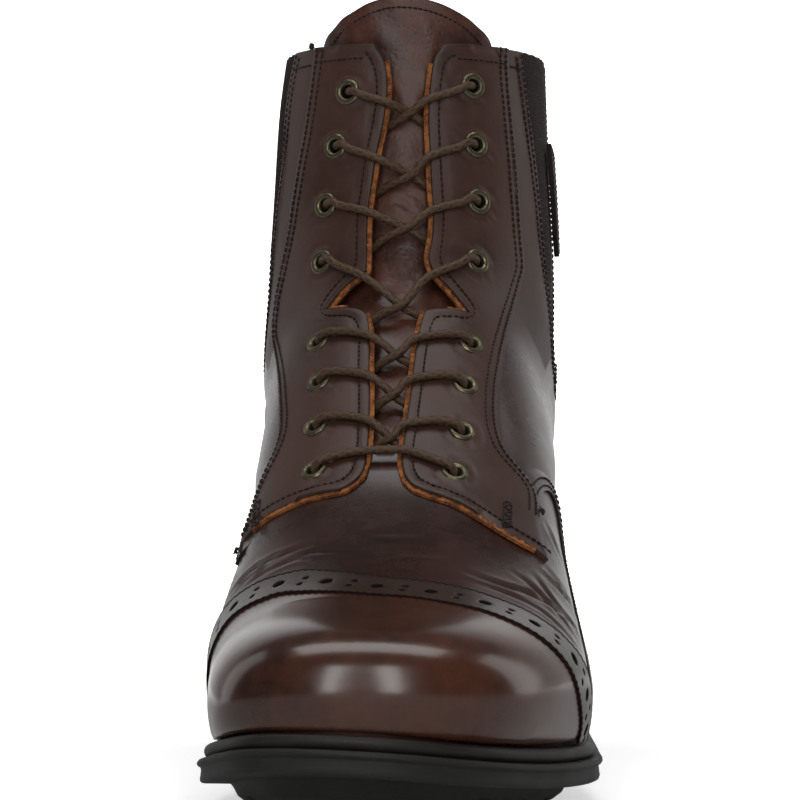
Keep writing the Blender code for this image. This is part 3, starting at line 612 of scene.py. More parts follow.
def plate(name, outline, low, high, step, mats, nodes=(), holes=(), soft=.4 * MM, relief=None, rim_step=None):
    """A plate with rounded edges inside an outline."""
    loops = [turned(spaced(rounded(outline, True), rim_step or step, True), 1)] + [turned(hole, -1) for hole in holes]
    rim = ((soft * .3, high - soft * .13), (0, high - soft * .5), (0, low + soft * .3))
    plate_of(name, loops, low, high, step, mats, nodes, soft, relief, rim, 2, 50)


def ring_of(u, t, radius, count):
    """A closed path of (station, share) round a point of the surface."""
    ju, jt = slopes(np.array([u]), np.array([t]))
    ju, jt = ju[0], jt[0]
    up = ju / np.linalg.norm(ju)
    side = np.cross(up, outward(np.array([u]), np.array([t]))[0])
    found = []
    basis = np.stack([ju, jt], 1)
    for k in range(count):
        a = 2 * math.pi * k / count
        x, y = math.cos(a) * radius, math.sin(a) * radius
        step = np.linalg.lstsq(basis, side * x + up * y, rcond=None)[0]
        found.append((u + step[0], t + step[1]))
    return np.array(found)


def gathered(parts_list):
    """Many small meshes as one list of points and faces."""
    points, faces, total = [], [], 0
    for p, f in parts_list:
        points.append(np.asarray(p))
        faces += [tuple(i + total for i in face) for face in f]
        total += len(p)
    return np.vstack(points), faces


def swept(path, radius, sides):
    """A round cord along real points. The radius may change along the path."""
    path = np.array(path)
    along = np.gradient(path, axis=0)
    along /= np.linalg.norm(along, axis=1)[:, None] + 1e-12
    radius = np.broadcast_to(radius, len(path))
    side = np.cross(along[0], (.13, .2, .97))
    points = []
    for p, d, r in zip(path, along, radius):
        side = side - d * side.dot(d)
        side /= np.linalg.norm(side) + 1e-12
        other = np.cross(d, side)
        for k in range(sides):
            a = 2 * math.pi * k / sides
            points.append(p + (side * math.cos(a) + other * math.sin(a)) * r)
    rings = [range(r * sides, (r + 1) * sides) for r in range(len(path))]
    faces = [face for a, b in zip(rings[:-1], rings[1:]) for face in between(a, b)]
    return points, faces + [tuple(rings[0]), tuple(rings[-1])[::-1]]


def joined(name, parts_list, mat, smooth_by=80):
    """Many small meshes as one piece."""
    points, faces = gathered(parts_list)
    piece(name, points, faces, (mat,), (), smooth_by)


THREAD = .29 * MM


def stitches(path, level, pitch=1.65 * MM, gap=.20, thick=THREAD, closed=False):
    """A row of sewn stitches along a path of (station, share): a low capsule each, with its ends sunk in."""
    p = spaced(path, pitch, closed)
    if closed:
        p = np.vstack([p, p[:1]])
    found = []
    for a, b in zip(p[:-1], p[1:]):
        shares = np.array([0, .15, .5, .85, 1]) * (1 - gap) + gap / 2
        flat = a + (b - a) * shares[:, None]
        flat[:, 1] += rng.normal(0, .0002)
        real = on_skin(flat[:, 0], flat[:, 1], level + np.array([-.6, .05, .45, .05, -.6]) * thick)
        found.append(swept(real, thick * np.array([.5, .9, 1, .9, .5]) * rng.uniform(.9, 1.1), 5))
    return found


# materials

def group(name, inputs, outputs):
    made = bpy.data.node_groups.new(name, "ShaderNodeTree")
    for label, kind, value in inputs:
        socket = made.interface.new_socket(name=label, in_out="INPUT", socket_type=kind)
        socket.default_value = value
    for label, kind in outputs:
        made.interface.new_socket(name=label, in_out="OUTPUT", socket_type=kind)
    return made, made.nodes.new("NodeGroupInput"), made.nodes.new("NodeGroupOutput")


def node(tree, kind, **settings):
    made = tree.nodes.new(kind)
    for key, value in settings.items():
        setattr(made, key, value)
    return made


def feed(tree, value, socket):
    if isinstance(value, bpy.types.NodeSocket):
        tree.links.new(value, socket)
    elif isinstance(value, tuple) and len(value) == 3 and socket.type == "RGBA":
        socket.default_value = (*value, 1)
    else:
        socket.default_value = value


def sums(tree, kind, a, b):
    made = node(tree, "ShaderNodeMath", operation=kind)
    feed(tree, a, made.inputs[0])
    feed(tree, b, made.inputs[1])
    return made.outputs[0]


def blended(tree, share, a, b):
    made = node(tree, "ShaderNodeMix", data_type="RGBA")
    feed(tree, share, made.inputs[0])
    feed(tree, a, made.inputs[6])
    feed(tree, b, made.inputs[7])
    return made.outputs[2]


def ranged(tree, value, low, high, to_low=0.0, to_high=1.0):
    made = node(tree, "ShaderNodeMapRange", interpolation_type="SMOOTHSTEP")
    feed(tree, value, made.inputs[0])
    for k, v in enumerate((low, high, to_low, to_high)):
        feed(tree, v, made.inputs[k + 1])
    return made.outputs[0]


def noise(tree, scale, detail=3.0, rough=.55, vector=None, kind="ShaderNodeTexNoise"):
    made = node(tree, kind)
    feed(tree, scale, made.inputs["Scale"])
    if kind == "ShaderNodeTexNoise":
        made.inputs["Detail"].default_value = detail
        made.inputs["Roughness"].default_value = rough
    if vector is None:
        vector = node(tree, "ShaderNodeTexCoord").outputs["Object"]
    tree.links.new(vector, made.inputs["Vector"])
    return made.outputs["Distance" if kind == "ShaderNodeTexVoronoi" else "Fac"]


# pebbled grain: small cells with pores between them
GRAIN, gi, go = group("leather grain", (("Scale", "NodeSocketFloat", 900.0),), (("Height", "NodeSocketFloat"),))
cells = noise(GRAIN, gi.outputs["Scale"], kind="ShaderNodeTexVoronoi")
cloud = noise(GRAIN, sums(GRAIN, "MULTIPLY", gi.outputs["Scale"], .45), 4.0)
GRAIN.links.new(sums(GRAIN, "ADD", sums(GRAIN, "MULTIPLY", cells, .6), cloud), go.inputs["Height"])

# cloudy hand-dyed tone, with an outcome from 0 to 1
TONE, gi, go = group("dyed tone", (("Scale", "NodeSocketFloat", 30.0), ("Low", "NodeSocketFloat", .35),
                                   ("High", "NodeSocketFloat", .65)), (("Mask", "NodeSocketFloat"),))
TONE.links.new(ranged(TONE, noise(TONE, gi.outputs["Scale"], 5.0, .6), gi.outputs["Low"], gi.outputs["High"]),
               go.inputs["Mask"])

# a burnished edge, from the distance to the cut that each plate carries
EDGE, gi, go = group("burnished edge", (("Width", "NodeSocketFloat", .0012),), (("Mask", "NodeSocketFloat"),))
to_cut = node(EDGE, "ShaderNodeAttribute", attribute_name="edge").outputs["Fac"]
ragged = sums(EDGE, "MULTIPLY", noise(EDGE, 700.0, 2.0), .0008)
EDGE.links.new(ranged(EDGE, sums(EDGE, "ADD", to_cut, ragged), .0003, gi.outputs["Width"], 1.0, 0.0),
               go.inputs["Mask"])

# painted shade in walking folds: how deep a point lies in a fold, as a mask that darkens the colour in the valleys
FOLD_SHADE, gi, go = group("painted fold shade", (("Depth", "NodeSocketFloat", .0004),), (("Mask", "NodeSocketFloat"),))
sunk = sums(FOLD_SHADE, "MULTIPLY", node(FOLD_SHADE, "ShaderNodeAttribute", attribute_name="fold").outputs["Fac"], -1.0)
FOLD_SHADE.links.new(ranged(FOLD_SHADE, sunk, 0.0, gi.outputs["Depth"]), go.inputs["Mask"])

# fine rubs and pinprick scuffs
SCUFF, gi, go = group("scuffs", (("Scale", "NodeSocketFloat", 420.0), ("Amount", "NodeSocketFloat", .5)),
                      (("Mask", "NodeSocketFloat"),))
stretch = node(SCUFF, "ShaderNodeMapping")
stretch.inputs["Scale"].default_value = (1, .35, .6)
SCUFF.links.new(node(SCUFF, "ShaderNodeTexCoord").outputs["Object"], stretch.inputs["Vector"])
marks_in = noise(SCUFF, gi.outputs["Scale"], 6.0, .75, stretch.outputs["Vector"])
SCUFF.links.new(sums(SCUFF, "MULTIPLY", ranged(SCUFF, marks_in, .62, .72), gi.outputs["Amount"]), go.inputs["Mask"])


def placed(tree, made, out, **values):
    """One of the groups, put in a material with its own values."""
    here = node(tree, "ShaderNodeGroup", node_tree=made)
    for key, value in values.items():
        here.inputs[key].default_value = value
    return here.outputs[out]


def finish_of(name, **constants):
    made = bpy.data.materials.new(name)
    made.use_nodes = True
    tree = made.node_tree
    shader = tree.nodes["Principled BSDF"]
    for key, value in constants.items():
        shader.inputs[key.replace("_", " ")].default_value = value
    return made, tree, shader


def raised(tree, shader, height, strength, distance):
    bump = node(tree, "ShaderNodeBump")
    bump.inputs["Strength"].default_value = strength
    bump.inputs["Distance"].default_value = distance
    tree.links.new(height, bump.inputs["Height"])
    tree.links.new(bump.outputs["Normal"], shader.inputs["Normal"])


def leather(name, dark, light, edge, rough=(.3, .42), grain=900.0, bump=.25, coat=0.0, patch=28.0,
            shaded_folds=False, scuff=.25, coat_rough=.2, crackle=0.0):
    made, tree, shader = finish_of(name, Coat_Weight=coat, Coat_Roughness=coat_rough, Specular_IOR_Level=.4)
    tone = placed(tree, TONE, "Mask", Scale=patch)
    fine = placed(tree, TONE, "Mask", Scale=patch * 9, Low=.3, High=.75)
    both = sums(tree, "ADD", sums(tree, "MULTIPLY", tone, .7), sums(tree, "MULTIPLY", fine, .3))
    color = blended(tree, both, dark, light)
    color = blended(tree, sums(tree, "MULTIPLY", placed(tree, EDGE, "Mask", Width=.0016), .8), color, edge)
    # painted shade: the colour darkens in the valleys of the folds
    if shaded_folds:
        color = blended(tree, sums(tree, "MULTIPLY", placed(tree, FOLD_SHADE, "Mask", Depth=.00035), .75), color,
                        tuple(c * .3 for c in dark))
    rubs = placed(tree, SCUFF, "Mask", Amount=scuff)
    color = blended(tree, rubs, color, tuple(min(c * 2.6 + .02, 1) for c in light))
    feed(tree, color, shader.inputs["Base Color"])
    matt = sums(tree, "ADD", ranged(tree, both, 0.0, 1.0, rough[0], rough[1]), sums(tree, "MULTIPLY", rubs, .3))
    feed(tree, matt, shader.inputs["Roughness"])
    height = placed(tree, GRAIN, "Height", Scale=grain)
    if crackle:
        lines = noise(tree, crackle, kind="ShaderNodeTexVoronoi")
        height = sums(tree, "ADD", height, sums(tree, "MULTIPLY", ranged(tree, lines, .0, .5), 1.4))
    raised(tree, shader, height, bump, .00012)
    return made


vamp_leather = leather("vamp_leather", (.020, .0085, .0065), (.046, .0165, .0115), (.010, .005, .004), (.25, .35),
                       1100.0, .10, .28, 34.0, True, .05, .22)
cap_leather = leather("cap_leather", (.024, .0095, .0068), (.080, .0260, .0130), (.010, .005, .004), (.20, .27),
                      1100.0, .06, .45, 26.0, False, .03, .17)
strip_leather = leather("strip_leather", (.022, .011, .008), (.036, .018, .013), (.008, .004, .003), (.34, .42),
                        900.0, .15, .55, 60.0, False, .15, .26)
facing_leather = leather("facing_leather", (.033, .0135, .0086), (.060, .0240, .0148), (.016, .007, .005), (.42, .54),
                         950.0, .22, .04, 22.0, False, .18, .3)
tongue_leather = leather("tongue_leather", (.026, .0105, .0070), (.098, .0320, .0190), (.020, .009, .006), (.36, .50),
                         800.0, .35, .06, 75.0, True, .35, .3, 620.0)
patch_leather = leather("patch_leather", (.030, .014, .010), (.050, .023, .016), (.012, .006, .005), (.4, .5),
                        900.0, .3, .05, 50.0, False, .2)
lining_leather = leather("lining_leather", (.16, .085, .045), (.24, .135, .075), (.10, .05, .03), (.55, .7),
                         1400.0, .2, 0.0, 40.0, False, .2)


def fibrous(name, dark, light, scale, rough, bump):
    """Cut or split hide, loose and dry."""
    made, tree, shader = finish_of(name, Specular_IOR_Level=.25)
    hairs = noise(tree, scale, 6.0, .7)
    shade = placed(tree, TONE, "Mask", Scale=420.0, Low=.42, High=.60)
    mixed = sums(tree, "MULTIPLY", sums(tree, "ADD", ranged(tree, hairs, .3, .7), shade), .5)
    feed(tree, blended(tree, mixed, dark, light), shader.inputs["Base Color"])
    feed(tree, ranged(tree, hairs, .2, .8, rough, min(rough + .15, 1)), shader.inputs["Roughness"])
    raised(tree, shader, hairs, bump, .0003)
    return made


raw_hide = fibrous("raw_hide", (.040, .012, .005), (.42, .150, .045), 2600.0, .8, .8)
cut_edge = fibrous("cut_edge", (.022, .009, .006), (.075, .028, .014), 2200.0, .6, .5)
dark_cut = fibrous("dark_cut", (.006, .004, .003), (.016, .009, .007), 1800.0, .7, .5)
insole_leather = leather("insole_leather", (.17, .085, .040), (.30, .170, .090), (.09, .045, .022), (.5, .65),
                         1200.0, .3, 0.0, 26.0, False, .3)


def rubber_of(name, color, rough, speck):
    made, tree, shader = finish_of(name, Specular_IOR_Level=.28)
    dust = placed(tree, TONE, "Mask", Scale=55.0, Low=.3, High=.8)
    rubs = placed(tree, SCUFF, "Mask", Scale=260.0, Amount=speck)
    tint = blended(tree, dust, color, tuple(c * 1.5 + .004 for c in color))
    feed(tree, blended(tree, rubs, tint, tuple(c * 3 + .02 for c in color)), shader.inputs["Base Color"])
    feed(tree, ranged(tree, dust, 0.0, 1.0, rough, rough + .14), shader.inputs["Roughness"])
    raised(tree, shader, noise(tree, 1500.0, 4.0), .25, .0002)
    return made


sole_rubber = rubber_of("sole_rubber", (.0135, .0142, .0118), .56, .22)
bead_rubber = rubber_of("bead_rubber", (.0150, .0130, .0105), .48, .12)
heel_rubber = rubber_of("heel_rubber", (.0170, .0180, .0155), .52, .35)


def elastic_of():
    """Ribbed elastic: dull threads along the rib, darker in the grooves between the ribs as painted shade, with a
    little brown in the weft.
    """
    made, tree, shader = finish_of("elastic", Roughness=.85, Sheen_Weight=.12, Sheen_Roughness=.5,
                                   Specular_IOR_Level=.12)
    weft = node(tree, "ShaderNodeTexWave", bands_direction="Z")
    weft.inputs["Scale"].default_value = 420.0
    weft.inputs["Distortion"].default_value = 1.5
    tree.links.new(node(tree, "ShaderNodeTexCoord").outputs["Object"], weft.inputs["Vector"])
    rib = node(tree, "ShaderNodeAttribute", attribute_name="rib").outputs["Fac"]
    lint = noise(tree, 3200.0, 3.0)
    # painted shade: dark in the grooves between the ribs, lighter on the rib tops
    color = blended(tree, rib, (.006, .0045, .0042), (.026, .018, .016))
    color = blended(tree, sums(tree, "MULTIPLY", weft.outputs["Fac"], .35), color, (.040, .023, .016))
    feed(tree, blended(tree, ranged(tree, lint, .62, .75), color, (.060, .045, .040)), shader.inputs["Base Color"])
    raised(tree, shader, sums(tree, "ADD", weft.outputs["Fac"], lint), .5, .0002)
    return made


elastic = elastic_of()


def brass_of():
    made, tree, shader = finish_of("aged_brass", Specular_IOR_Level=.5)
    age = placed(tree, TONE, "Mask", Scale=420.0, Low=.35, High=.7)
    spots = placed(tree, SCUFF, "Mask", Scale=900.0, Amount=.6)
    color = blended(tree, age, (.085, .074, .046), (.190, .165, .100))
    feed(tree, blended(tree, spots, color, (.32, .27, .15)), shader.inputs["Base Color"])
    feed(tree, ranged(tree, age, 0.0, 1.0, .44, .28), shader.inputs["Roughness"])
    feed(tree, ranged(tree, age, 0.0, 1.0, .78, .95), shader.inputs["Metallic"])
    raised(tree, shader, noise(tree, 1800.0, 3.0), .2, .0001)
    return made


aged_brass = brass_of()


def cord_of():
    """Waxed cord: the braid's raised yarns are lighter and the grooves between them darker, as painted shade, with pale
    specks of wax.
    """
    made, tree, shader = finish_of("waxed_cord", Specular_IOR_Level=.22)
    yarn = node(tree, "ShaderNodeAttribute", attribute_name="yarn").outputs["Fac"]
    wax = noise(tree, 2400.0, 3.0, .7)
    # painted shade: dark in the grooves between the raised yarns, light on their tops
    color = blended(tree, yarn, (.030, .0165, .0095), (.090, .053, .030))
    feed(tree, blended(tree, ranged(tree, wax, .60, .70), color, (.20, .145, .095)), shader.inputs["Base Color"])
    feed(tree, ranged(tree, wax, .4, .7, .55, .35), shader.inputs["Roughness"])
    raised(tree, shader, wax, .35, .0001)
    return made


waxed_cord = cord_of()


def thread_of(name, dark, light):
    made, tree, shader = finish_of(name, Roughness=.7, Sheen_Weight=.05, Specular_IOR_Level=.25)
    twist = noise(tree, 5000.0, 2.0)
    tone = placed(tree, TONE, "Mask", Scale=120.0)
    mixed = sums(tree, "MULTIPLY", sums(tree, "ADD", twist, tone), .5)
    feed(tree, blended(tree, mixed, dark, light), shader.inputs["Base Color"])
    raised(tree, shader, twist, .5, .0001)
    return made


thread = thread_of("dark_thread", (.006, .0035, .0028), (.024, .0115, .0080))
# near-black colour for the painted shadow in the punched holes
hole_shadow_paint, tree, shader = finish_of("hole_shadow", Specular_IOR_Level=.1)
feed(tree, blended(tree, noise(tree, 900.0), (.002, .0015, .0015), (.006, .004, .0035)), shader.inputs["Base Color"])
feed(tree, ranged(tree, noise(tree, 700.0), .3, .7, .8, .95), shader.inputs["Roughness"])


# the upper: folds, soft dents and the hollow shell

# depth and half width in millimetres, then (station, share) points; medial side first
CREASES = (
    (.50, 1.0, ((10.1, -.60), (9.9, -.46), (9.7, -.35), (9.6, -.27), (9.6, -.20))),
    (.38, .9, ((9.7, -.53), (9.6, -.42), (9.5, -.34), (9.4, -.27), (9.3, -.20), (9.15, -.09))),
    (.35, .9, ((9.45, -.50), (9.35, -.42), (9.3, -.35), (9.25, -.28), (9.1, -.21))),
    (.45, 1.2, ((10.2, -.72), (10.4, -.62), (10.9, -.53), (10.9, -.49))),
    (.40, 1.3, ((9.9, -.86), (9.8, -.76), (9.9, -.66))),
    (.55, 1.1, ((8.6, .24), (8.45, .31), (8.4, .38), (8.55, .46), (8.6, .52), (8.75, .58), (9.0, .64), (9.4, .70))),
    (.42, .9, ((8.1, .30), (8.05, .37), (8.0, .45), (7.95, .53), (7.8, .59), (7.75, .66), (7.85, .72))),
    (.50, 1.0, ((9.2, .39), (9.1, .45), (8.9, .49), (8.65, .54), (8.45, .59), (8.3, .65), (8.4, .72))),
    (.52, 1.1, ((9.65, .45), (9.45, .49), (9.2, .53), (9.05, .57), (9.0, .62), (9.1, .68), (9.2, .76))),
    (.50, 1.2, ((9.9, .47), (9.97, .52), (10.05, .57), (10.2, .61), (10.6, .67))),
    (.40, 1.1, ((10.3, .48), (10.3, .53), (10.4, .58), (10.65, .62))),
    (.35, 1.2, ((11.9, .46), (11.85, .50), (11.7, .53), (11.7, .58))),
    (.22, .9, ((8.85, .03), (8.85, .11), (8.95, .19))),
    (.25, .9, ((9.6, -.05), (9.55, .04), (9.6, .12))),
    (.60, 3.2, ((13.2, .50), (14.6, .56), (16.2, .57), (17.6, .54))),
    (.55, 3.4, ((15.2, .66), (16.6, .72), (18.4, .74))),
    (.60, 3.2, ((13.4, -.50), (14.8, -.57), (16.4, -.58), (17.8, -.54))),
    (.50, 3.4, ((15.6, -.68), (17.0, -.73), (18.6, -.74))),
    (.35, 2.6, ((16.8, .40), (17.6, .42), (18.3, .46))),
    (.35, 2.6, ((16.6, -.38), (17.4, -.42), (18.2, -.47))),
)


def fold_height(u, t, table, spacing, ridge, ease, reach):
    """Height of pressed-in folds: a valley with a low ridge on each side. Ridge and reach are in half widths."""
    p = on_skin(u, t)
    total = np.zeros(len(p))
    for depth, width, path in table:
        line = on_skin(*spaced(rounded(path), spacing).T)
        far = reach * width * MM
        near = ((p > line.min(0) - far) & (p < line.max(0) + far)).all(1)
        if not near.any():
            continue
        d, along = from_line(p[near], line, False)
        x = d / (width * MM)
        fade = np.clip(np.minimum(along, 1 - along) / .3, 0, 1) ** ease
        total[near] += fade * depth * MM * (.5 * np.exp(-(x - ridge) ** 2) - np.exp(-x * x))
    return total


def dents(u, t, size=17 * MM, height=.22 * MM):
    """Slow unevenness of a lasted upper, so that reflections waver."""
    p = on_skin(u, t) / size
    return (np.sin(p[:, 0] * 1.3 + 1.7 * np.sin(p[:, 2] * .9)) * np.sin(p[:, 1] * 1.1 + 2.1 * np.sin(p[:, 0] * .7))
            + .5 * np.sin(p[:, 2] * 2.3 + p[:, 0] * 1.9) * np.sin(p[:, 1] * 2.1 + .6)) * height


THROAT_END = ((12.2, -.058), (12.08, -.045), (12.04, -.01), (12.08, .022), (12.2, .031))
THROAT_LOW = 12.35
THROAT = [p for p in INNER_MEDIAL if p[0] > THROAT_LOW] + list(THROAT_END)
THROAT += [p for p in INNER_LATERAL[::-1] if p[0] > THROAT_LOW]


def level_run(a, b, step):
    """The collar's edge from one share to another."""
    return spaced(((TOP, a), (TOP, (a + b) / 2), (TOP, b)), step)


def hollow_upper(step=1.35 * MM):
    seam_u = np.arange(0, TOP + .01, .1)
    runs = [
        np.stack([seam_u, np.full(len(seam_u), -1.0)], 1),
        level_run(-1, -GORE[-1][1], step),
        spaced(rounded(mirrored(GORE)[::-1]), step),
        level_run(-GORE[0][1], INNER_MEDIAL[0][1], step),
        spaced(rounded(THROAT), step * .7),
        level_run(INNER_LATERAL[0][1], GORE[0][1], step),
        spaced(rounded(GORE), step),
        level_run(GORE[-1][1], 1, step),
        np.stack([seam_u[::-1], np.full(len(seam_u), 1.0)], 1),
        np.stack([np.zeros(61), np.linspace(1, -1, 61)], 1),
    ]
    loop = np.vstack([run[:-1] for run in runs])[::-1]
    back = (np.abs(loop[:, 1]) > .9999) & (loop[:, 0] >= RING - 1e-6)
    foot = ((np.abs(loop[:, 1]) > .9999) & ~back) | (loop[:, 0] < 1e-6)
    holes = [turned(ring_of(u, t, EYELET_HOLE, 20), -1) for u, t in EYELETS_MEDIAL + EYELETS_LATERAL]
    loops = [loop] + holes
    soft = .35 * MM
    held = back | foot
    drawn = [moved(loop, np.where(held, 0, soft), True)] + [moved(h, soft * .5, True) for h in holes]
    drawn[0][:, 0] = np.clip(drawn[0][:, 0], 0, TOP)
    drawn[0][held] = loop[held]
    flat, tris, rims = fill(drawn, step)
    u, t = flat.T
    folds = fold_height(u, t, CREASES, 2 * MM, 2.1, .8, 5)
    calm = np.clip((1 - np.abs(t)) / .08, 0, 1)
    lift = folds + np.where(u < RING, calm, 1) * dents(u, t)
    top = on_skin(u, t, lift)
    under = on_skin(u, t, lift * .5 - WALL)
    points = [top, under]
    # the fold depth is kept on the points; the leather darkens the valleys with it as painted shade
    marks = [folds, folds * 0]
    edge, _ = from_line(top, on_skin(*loop[~held].T), False)
    edges = [edge, edge]
    count = len(flat)
    faces = [tuple(f) for f in tris] + [tuple(f[::-1] + count) for f in tris]
    middle = flat[tris].mean(1)
    matt = (middle[:, 0] > 17.5) & (np.abs(middle[:, 1]) < .37)
    which = list(np.where(matt, 3, 0)) + [2] * len(tris)
    total = 2 * count
    for n, (ring, rim) in enumerate(zip(loops, rims)):
        here = held if n == 0 else np.zeros(len(ring), bool)
        feet = foot if n == 0 else here
        size = len(ring)
        outer = on_skin(ring[:, 0], ring[:, 1], lift[rim])
        out = outward(ring[:, 0], ring[:, 1])
        levels = [outer - out * .3 * MM, outer - out * WALL * .5, outer - out * (WALL - .2 * MM)]
        flange = outer.copy()
        flange[:, 2] = seat(flange[:, 0], flange[:, 1] + LENGTH / 2) + .8 * MM
        level_out = out.copy()
        level_out[:, 2] = 0
        level_out /= np.linalg.norm(level_out, axis=1)[:, None]
        inner = flange - level_out * WALL
        for made, other in zip(levels, ((outer + flange) / 2, flange, inner)):
            made[feet] = other[feet]
        ids = [list(rim)]
        for made in levels:
            points.append(made)
            marks.append(np.zeros(size))
            edges.append(np.where(feet, 1.0, 0.0))
            ids.append(list(range(total, total + size)))
            total += size
        ids.append([r + count for r in rim])
        for k in range(size):
            m = (k + 1) % size
            if n == 0 and back[k] and back[m]:
                continue
            for r in range(4):
                faces.append((ids[r][k], ids[r + 1][k], ids[r + 1][m], ids[r][m]))
                which.append(1 if not (feet[k] or feet[m]) and r > 0 else (2 if r > 2 else 0))
    points = np.vstack(points)
    # sew the two sides together down the back
    medial = {round(float(a), 3): k for k, (a, b) in enumerate(loop) if back[k] and b < 0}
    same = {}
    for k, (a, b) in enumerate(loop):
        if back[k] and b > 0 and round(float(a), 3) in medial:
            other = medial[round(float(a), 3)]
            same[rims[0][k]] = rims[0][other]
            same[rims[0][k] + count] = rims[0][other] + count
            if a > TOP - 1e-6 or abs(a - RING) < 1e-6:
                for r in range(3):
                    same[2 * count + r * len(loop) + k] = 2 * count + r * len(loop) + other
    faces = [tuple(same.get(i, i) for i in face) for face in faces]
    used = np.unique(np.concatenate([np.array(f) for f in faces]))
    new = np.full(len(points), -1)
    new[used] = np.arange(len(used))
    faces = [tuple(new[i] for i in face) for face in faces]
    piece("upper_shell", points[used], faces, (vamp_leather, cut_edge, lining_leather, facing_leather),
          ("upper",), 60, which,
          {"fold": np.concatenate(marks)[used], "edge": np.concatenate(edges)[used]})


hollow_upper()


# facings, toe cap, punched strip, side patch

def facing_relief(side):
    """Rolled inner edge with a sewn channel, thin outer edge, and on the lateral side a few pressed lines."""
    def relief(u, t, edge):
        away = np.abs(t) > np.interp(u, (11, 14, 18, 27), (.26, .2, .16, .13))
        thin = np.where(away, -.75 * MM * np.exp(-(edge / (1.8 * MM)) ** 2), 0)
        ruck = 0.0
        if side > 0:
            for share in (.062, .072, .082):
                line = np.clip(1 - np.abs(u - 18.2) / 1.5, 0, 1)
                ruck = ruck - .30 * MM * line * np.exp(-((t - share - (18.6 - u) * .014) / .0035) ** 2)
        rolled = .22 * MM * np.exp(-((edge - 1.3 * MM) / (.9 * MM)) ** 2)
        channel = .30 * MM * np.exp(-((edge - 2.9 * MM) / (.55 * MM)) ** 2)
        return thin + ruck + np.where(away, 0, rolled - channel) + dents(u, t, 15 * MM, .10 * MM)
    return relief


FACE_TOP = 1.75 * MM
for side, name, outline, eyes in ((-1, "medial", FACING_MEDIAL, EYELETS_MEDIAL),
                                  (1, "lateral", FACING_LATERAL, EYELETS_LATERAL)):
    holes = [ring_of(u, t, EYELET_HOLE, 20) for u, t in eyes]
    plate("facing_" + name + "_leather", outline, .1 * MM, FACE_TOP, 1.3 * MM, (facing_leather, cut_edge),
          ("facing_" + name,), holes, .45 * MM, facing_relief(side), .9 * MM)


def cap_relief(u, t, edge):
    small = .16 * MM * np.exp(-((u - 6.55 + 1.2 * t) / .10) ** 2) * np.exp(-((t + .2) / .12) ** 2)
    return dents(u, t, 20 * MM, .14 * MM) - small - .3 * MM * np.exp(-(edge / (1.2 * MM)) ** 2)


def low_station(t, clear=.9 * MM):
    """The first station at which the surface is this far above the foot line."""
    us = np.arange(.05, 8, .02)
    p = on_skin(us, np.full(len(us), t))
    high = p[:, 2] - seat(p[:, 0], p[:, 1] + LENGTH / 2) - BEAD > clear
    return float(us[np.argmax(high)]) if high.any() else 8.0


CAP_FRONT = [(low_station(t), t) for t in (.975, .93, .88, .8, .65, .45, .2, 0, -.2, -.45, -.65, -.8, -.88, -.93, -.975)]
CAP_BACK = [(CAP_EDGE[0][0] + .6, -.975)] + [(u + .5, t) for u, t in CAP_EDGE if abs(t) < .96]
CAP_BACK += [(CAP_EDGE[-1][0] + .5, .975)]
plate("toe_cap_leather", CAP_FRONT + CAP_BACK, .1 * MM, 1.0 * MM, 1.1 * MM, (cap_leather, dark_cut),
      ("toe_cap",), (), .3 * MM, cap_relief)

PINK_PITCH = 2.1 * MM
PINK_DEPTH = .6 * MM


def pinked(path, outwards):
    """A cut edge with small pointed scallops."""
    p = spaced(rounded(path), PINK_PITCH / 6)
    wave = np.abs(np.sin(np.arange(len(p)) * math.pi / 6))
    return moved(p, outwards * (wave - .5) * PINK_DEPTH, False, 2)


def strip_middle():
    share = np.linspace(-.975, .975, 300)
    rows = [np.interp(share, [t for u, t in edge], [u for u, t in edge]) for edge in (CAP_EDGE, STRIP_EDGE)]
    path = np.stack([(rows[0] + rows[1]) / 2, share], 1)
    real = on_skin(path[:, 0], path[:, 1])
    s = run_length(real)
    return path, s - np.interp(0, share, s)


# brogue holes: places along the strip in millimetres from the middle
BIG_HOLES = (-84, -70, -56, -42, -27.5, -13.6, .3, 14.1, 27.9, 40.9, 54, 65.5, 77)
PAIRED_HOLES = (-77, -63, -49, -34.7, -20.5, -6.6, 7.2, 21, 34.4, 47.4, 59.7, 71.3, 83)
MIDDLE, ALONG = strip_middle()


def strip_place(s, across=0.0):
    u = np.interp(s, ALONG, MIDDLE[:, 0])
    t = np.interp(s, ALONG, MIDDLE[:, 1])
    path = np.array([(np.interp(s - MM, ALONG, MIDDLE[:, 0]), np.interp(s - MM, ALONG, MIDDLE[:, 1])), (u, t),
                     (np.interp(s + MM, ALONG, MIDDLE[:, 0]), np.interp(s + MM, ALONG, MIDDLE[:, 1]))])
    return moved(path, across)[1]


holes = [ring_of(*strip_place(s * MM), 1.55 * MM, 20) for s in BIG_HOLES]
for s in PAIRED_HOLES:
    holes += [ring_of(*strip_place(s * MM, d * MM), .78 * MM, 14) for d in (-1.75, 1.75)]
strip_loop = np.vstack([pinked(CAP_EDGE, -1), pinked(STRIP_EDGE, 1)[::-1]])
LOW, HIGH, SOFT = .7 * MM, 1.5 * MM, .12 * MM
plate_of("cap_strip_leather", [turned(strip_loop, 1)] + [turned(hole, -1) for hole in holes], LOW, HIGH, .75 * MM,
         (strip_leather, dark_cut), ("cap_strip",), SOFT, None,
         ((0, HIGH - SOFT * .6), (0, LOW + SOFT * .2)), 0, 45)
# a thin near-black cord along both pinked edges: partly the dark cut edge, partly painted shadow of the raised edge
lines = []
for path, way in ((CAP_EDGE, -1), (STRIP_EDGE, 1)):
    p = pinked(path, way)
    lines.append(swept(on_skin(p[:, 0], p[:, 1], 1.42 * MM), .23 * MM, 5))
joined("cap_strip_dark_edge_and_shadow", lines, dark_cut)
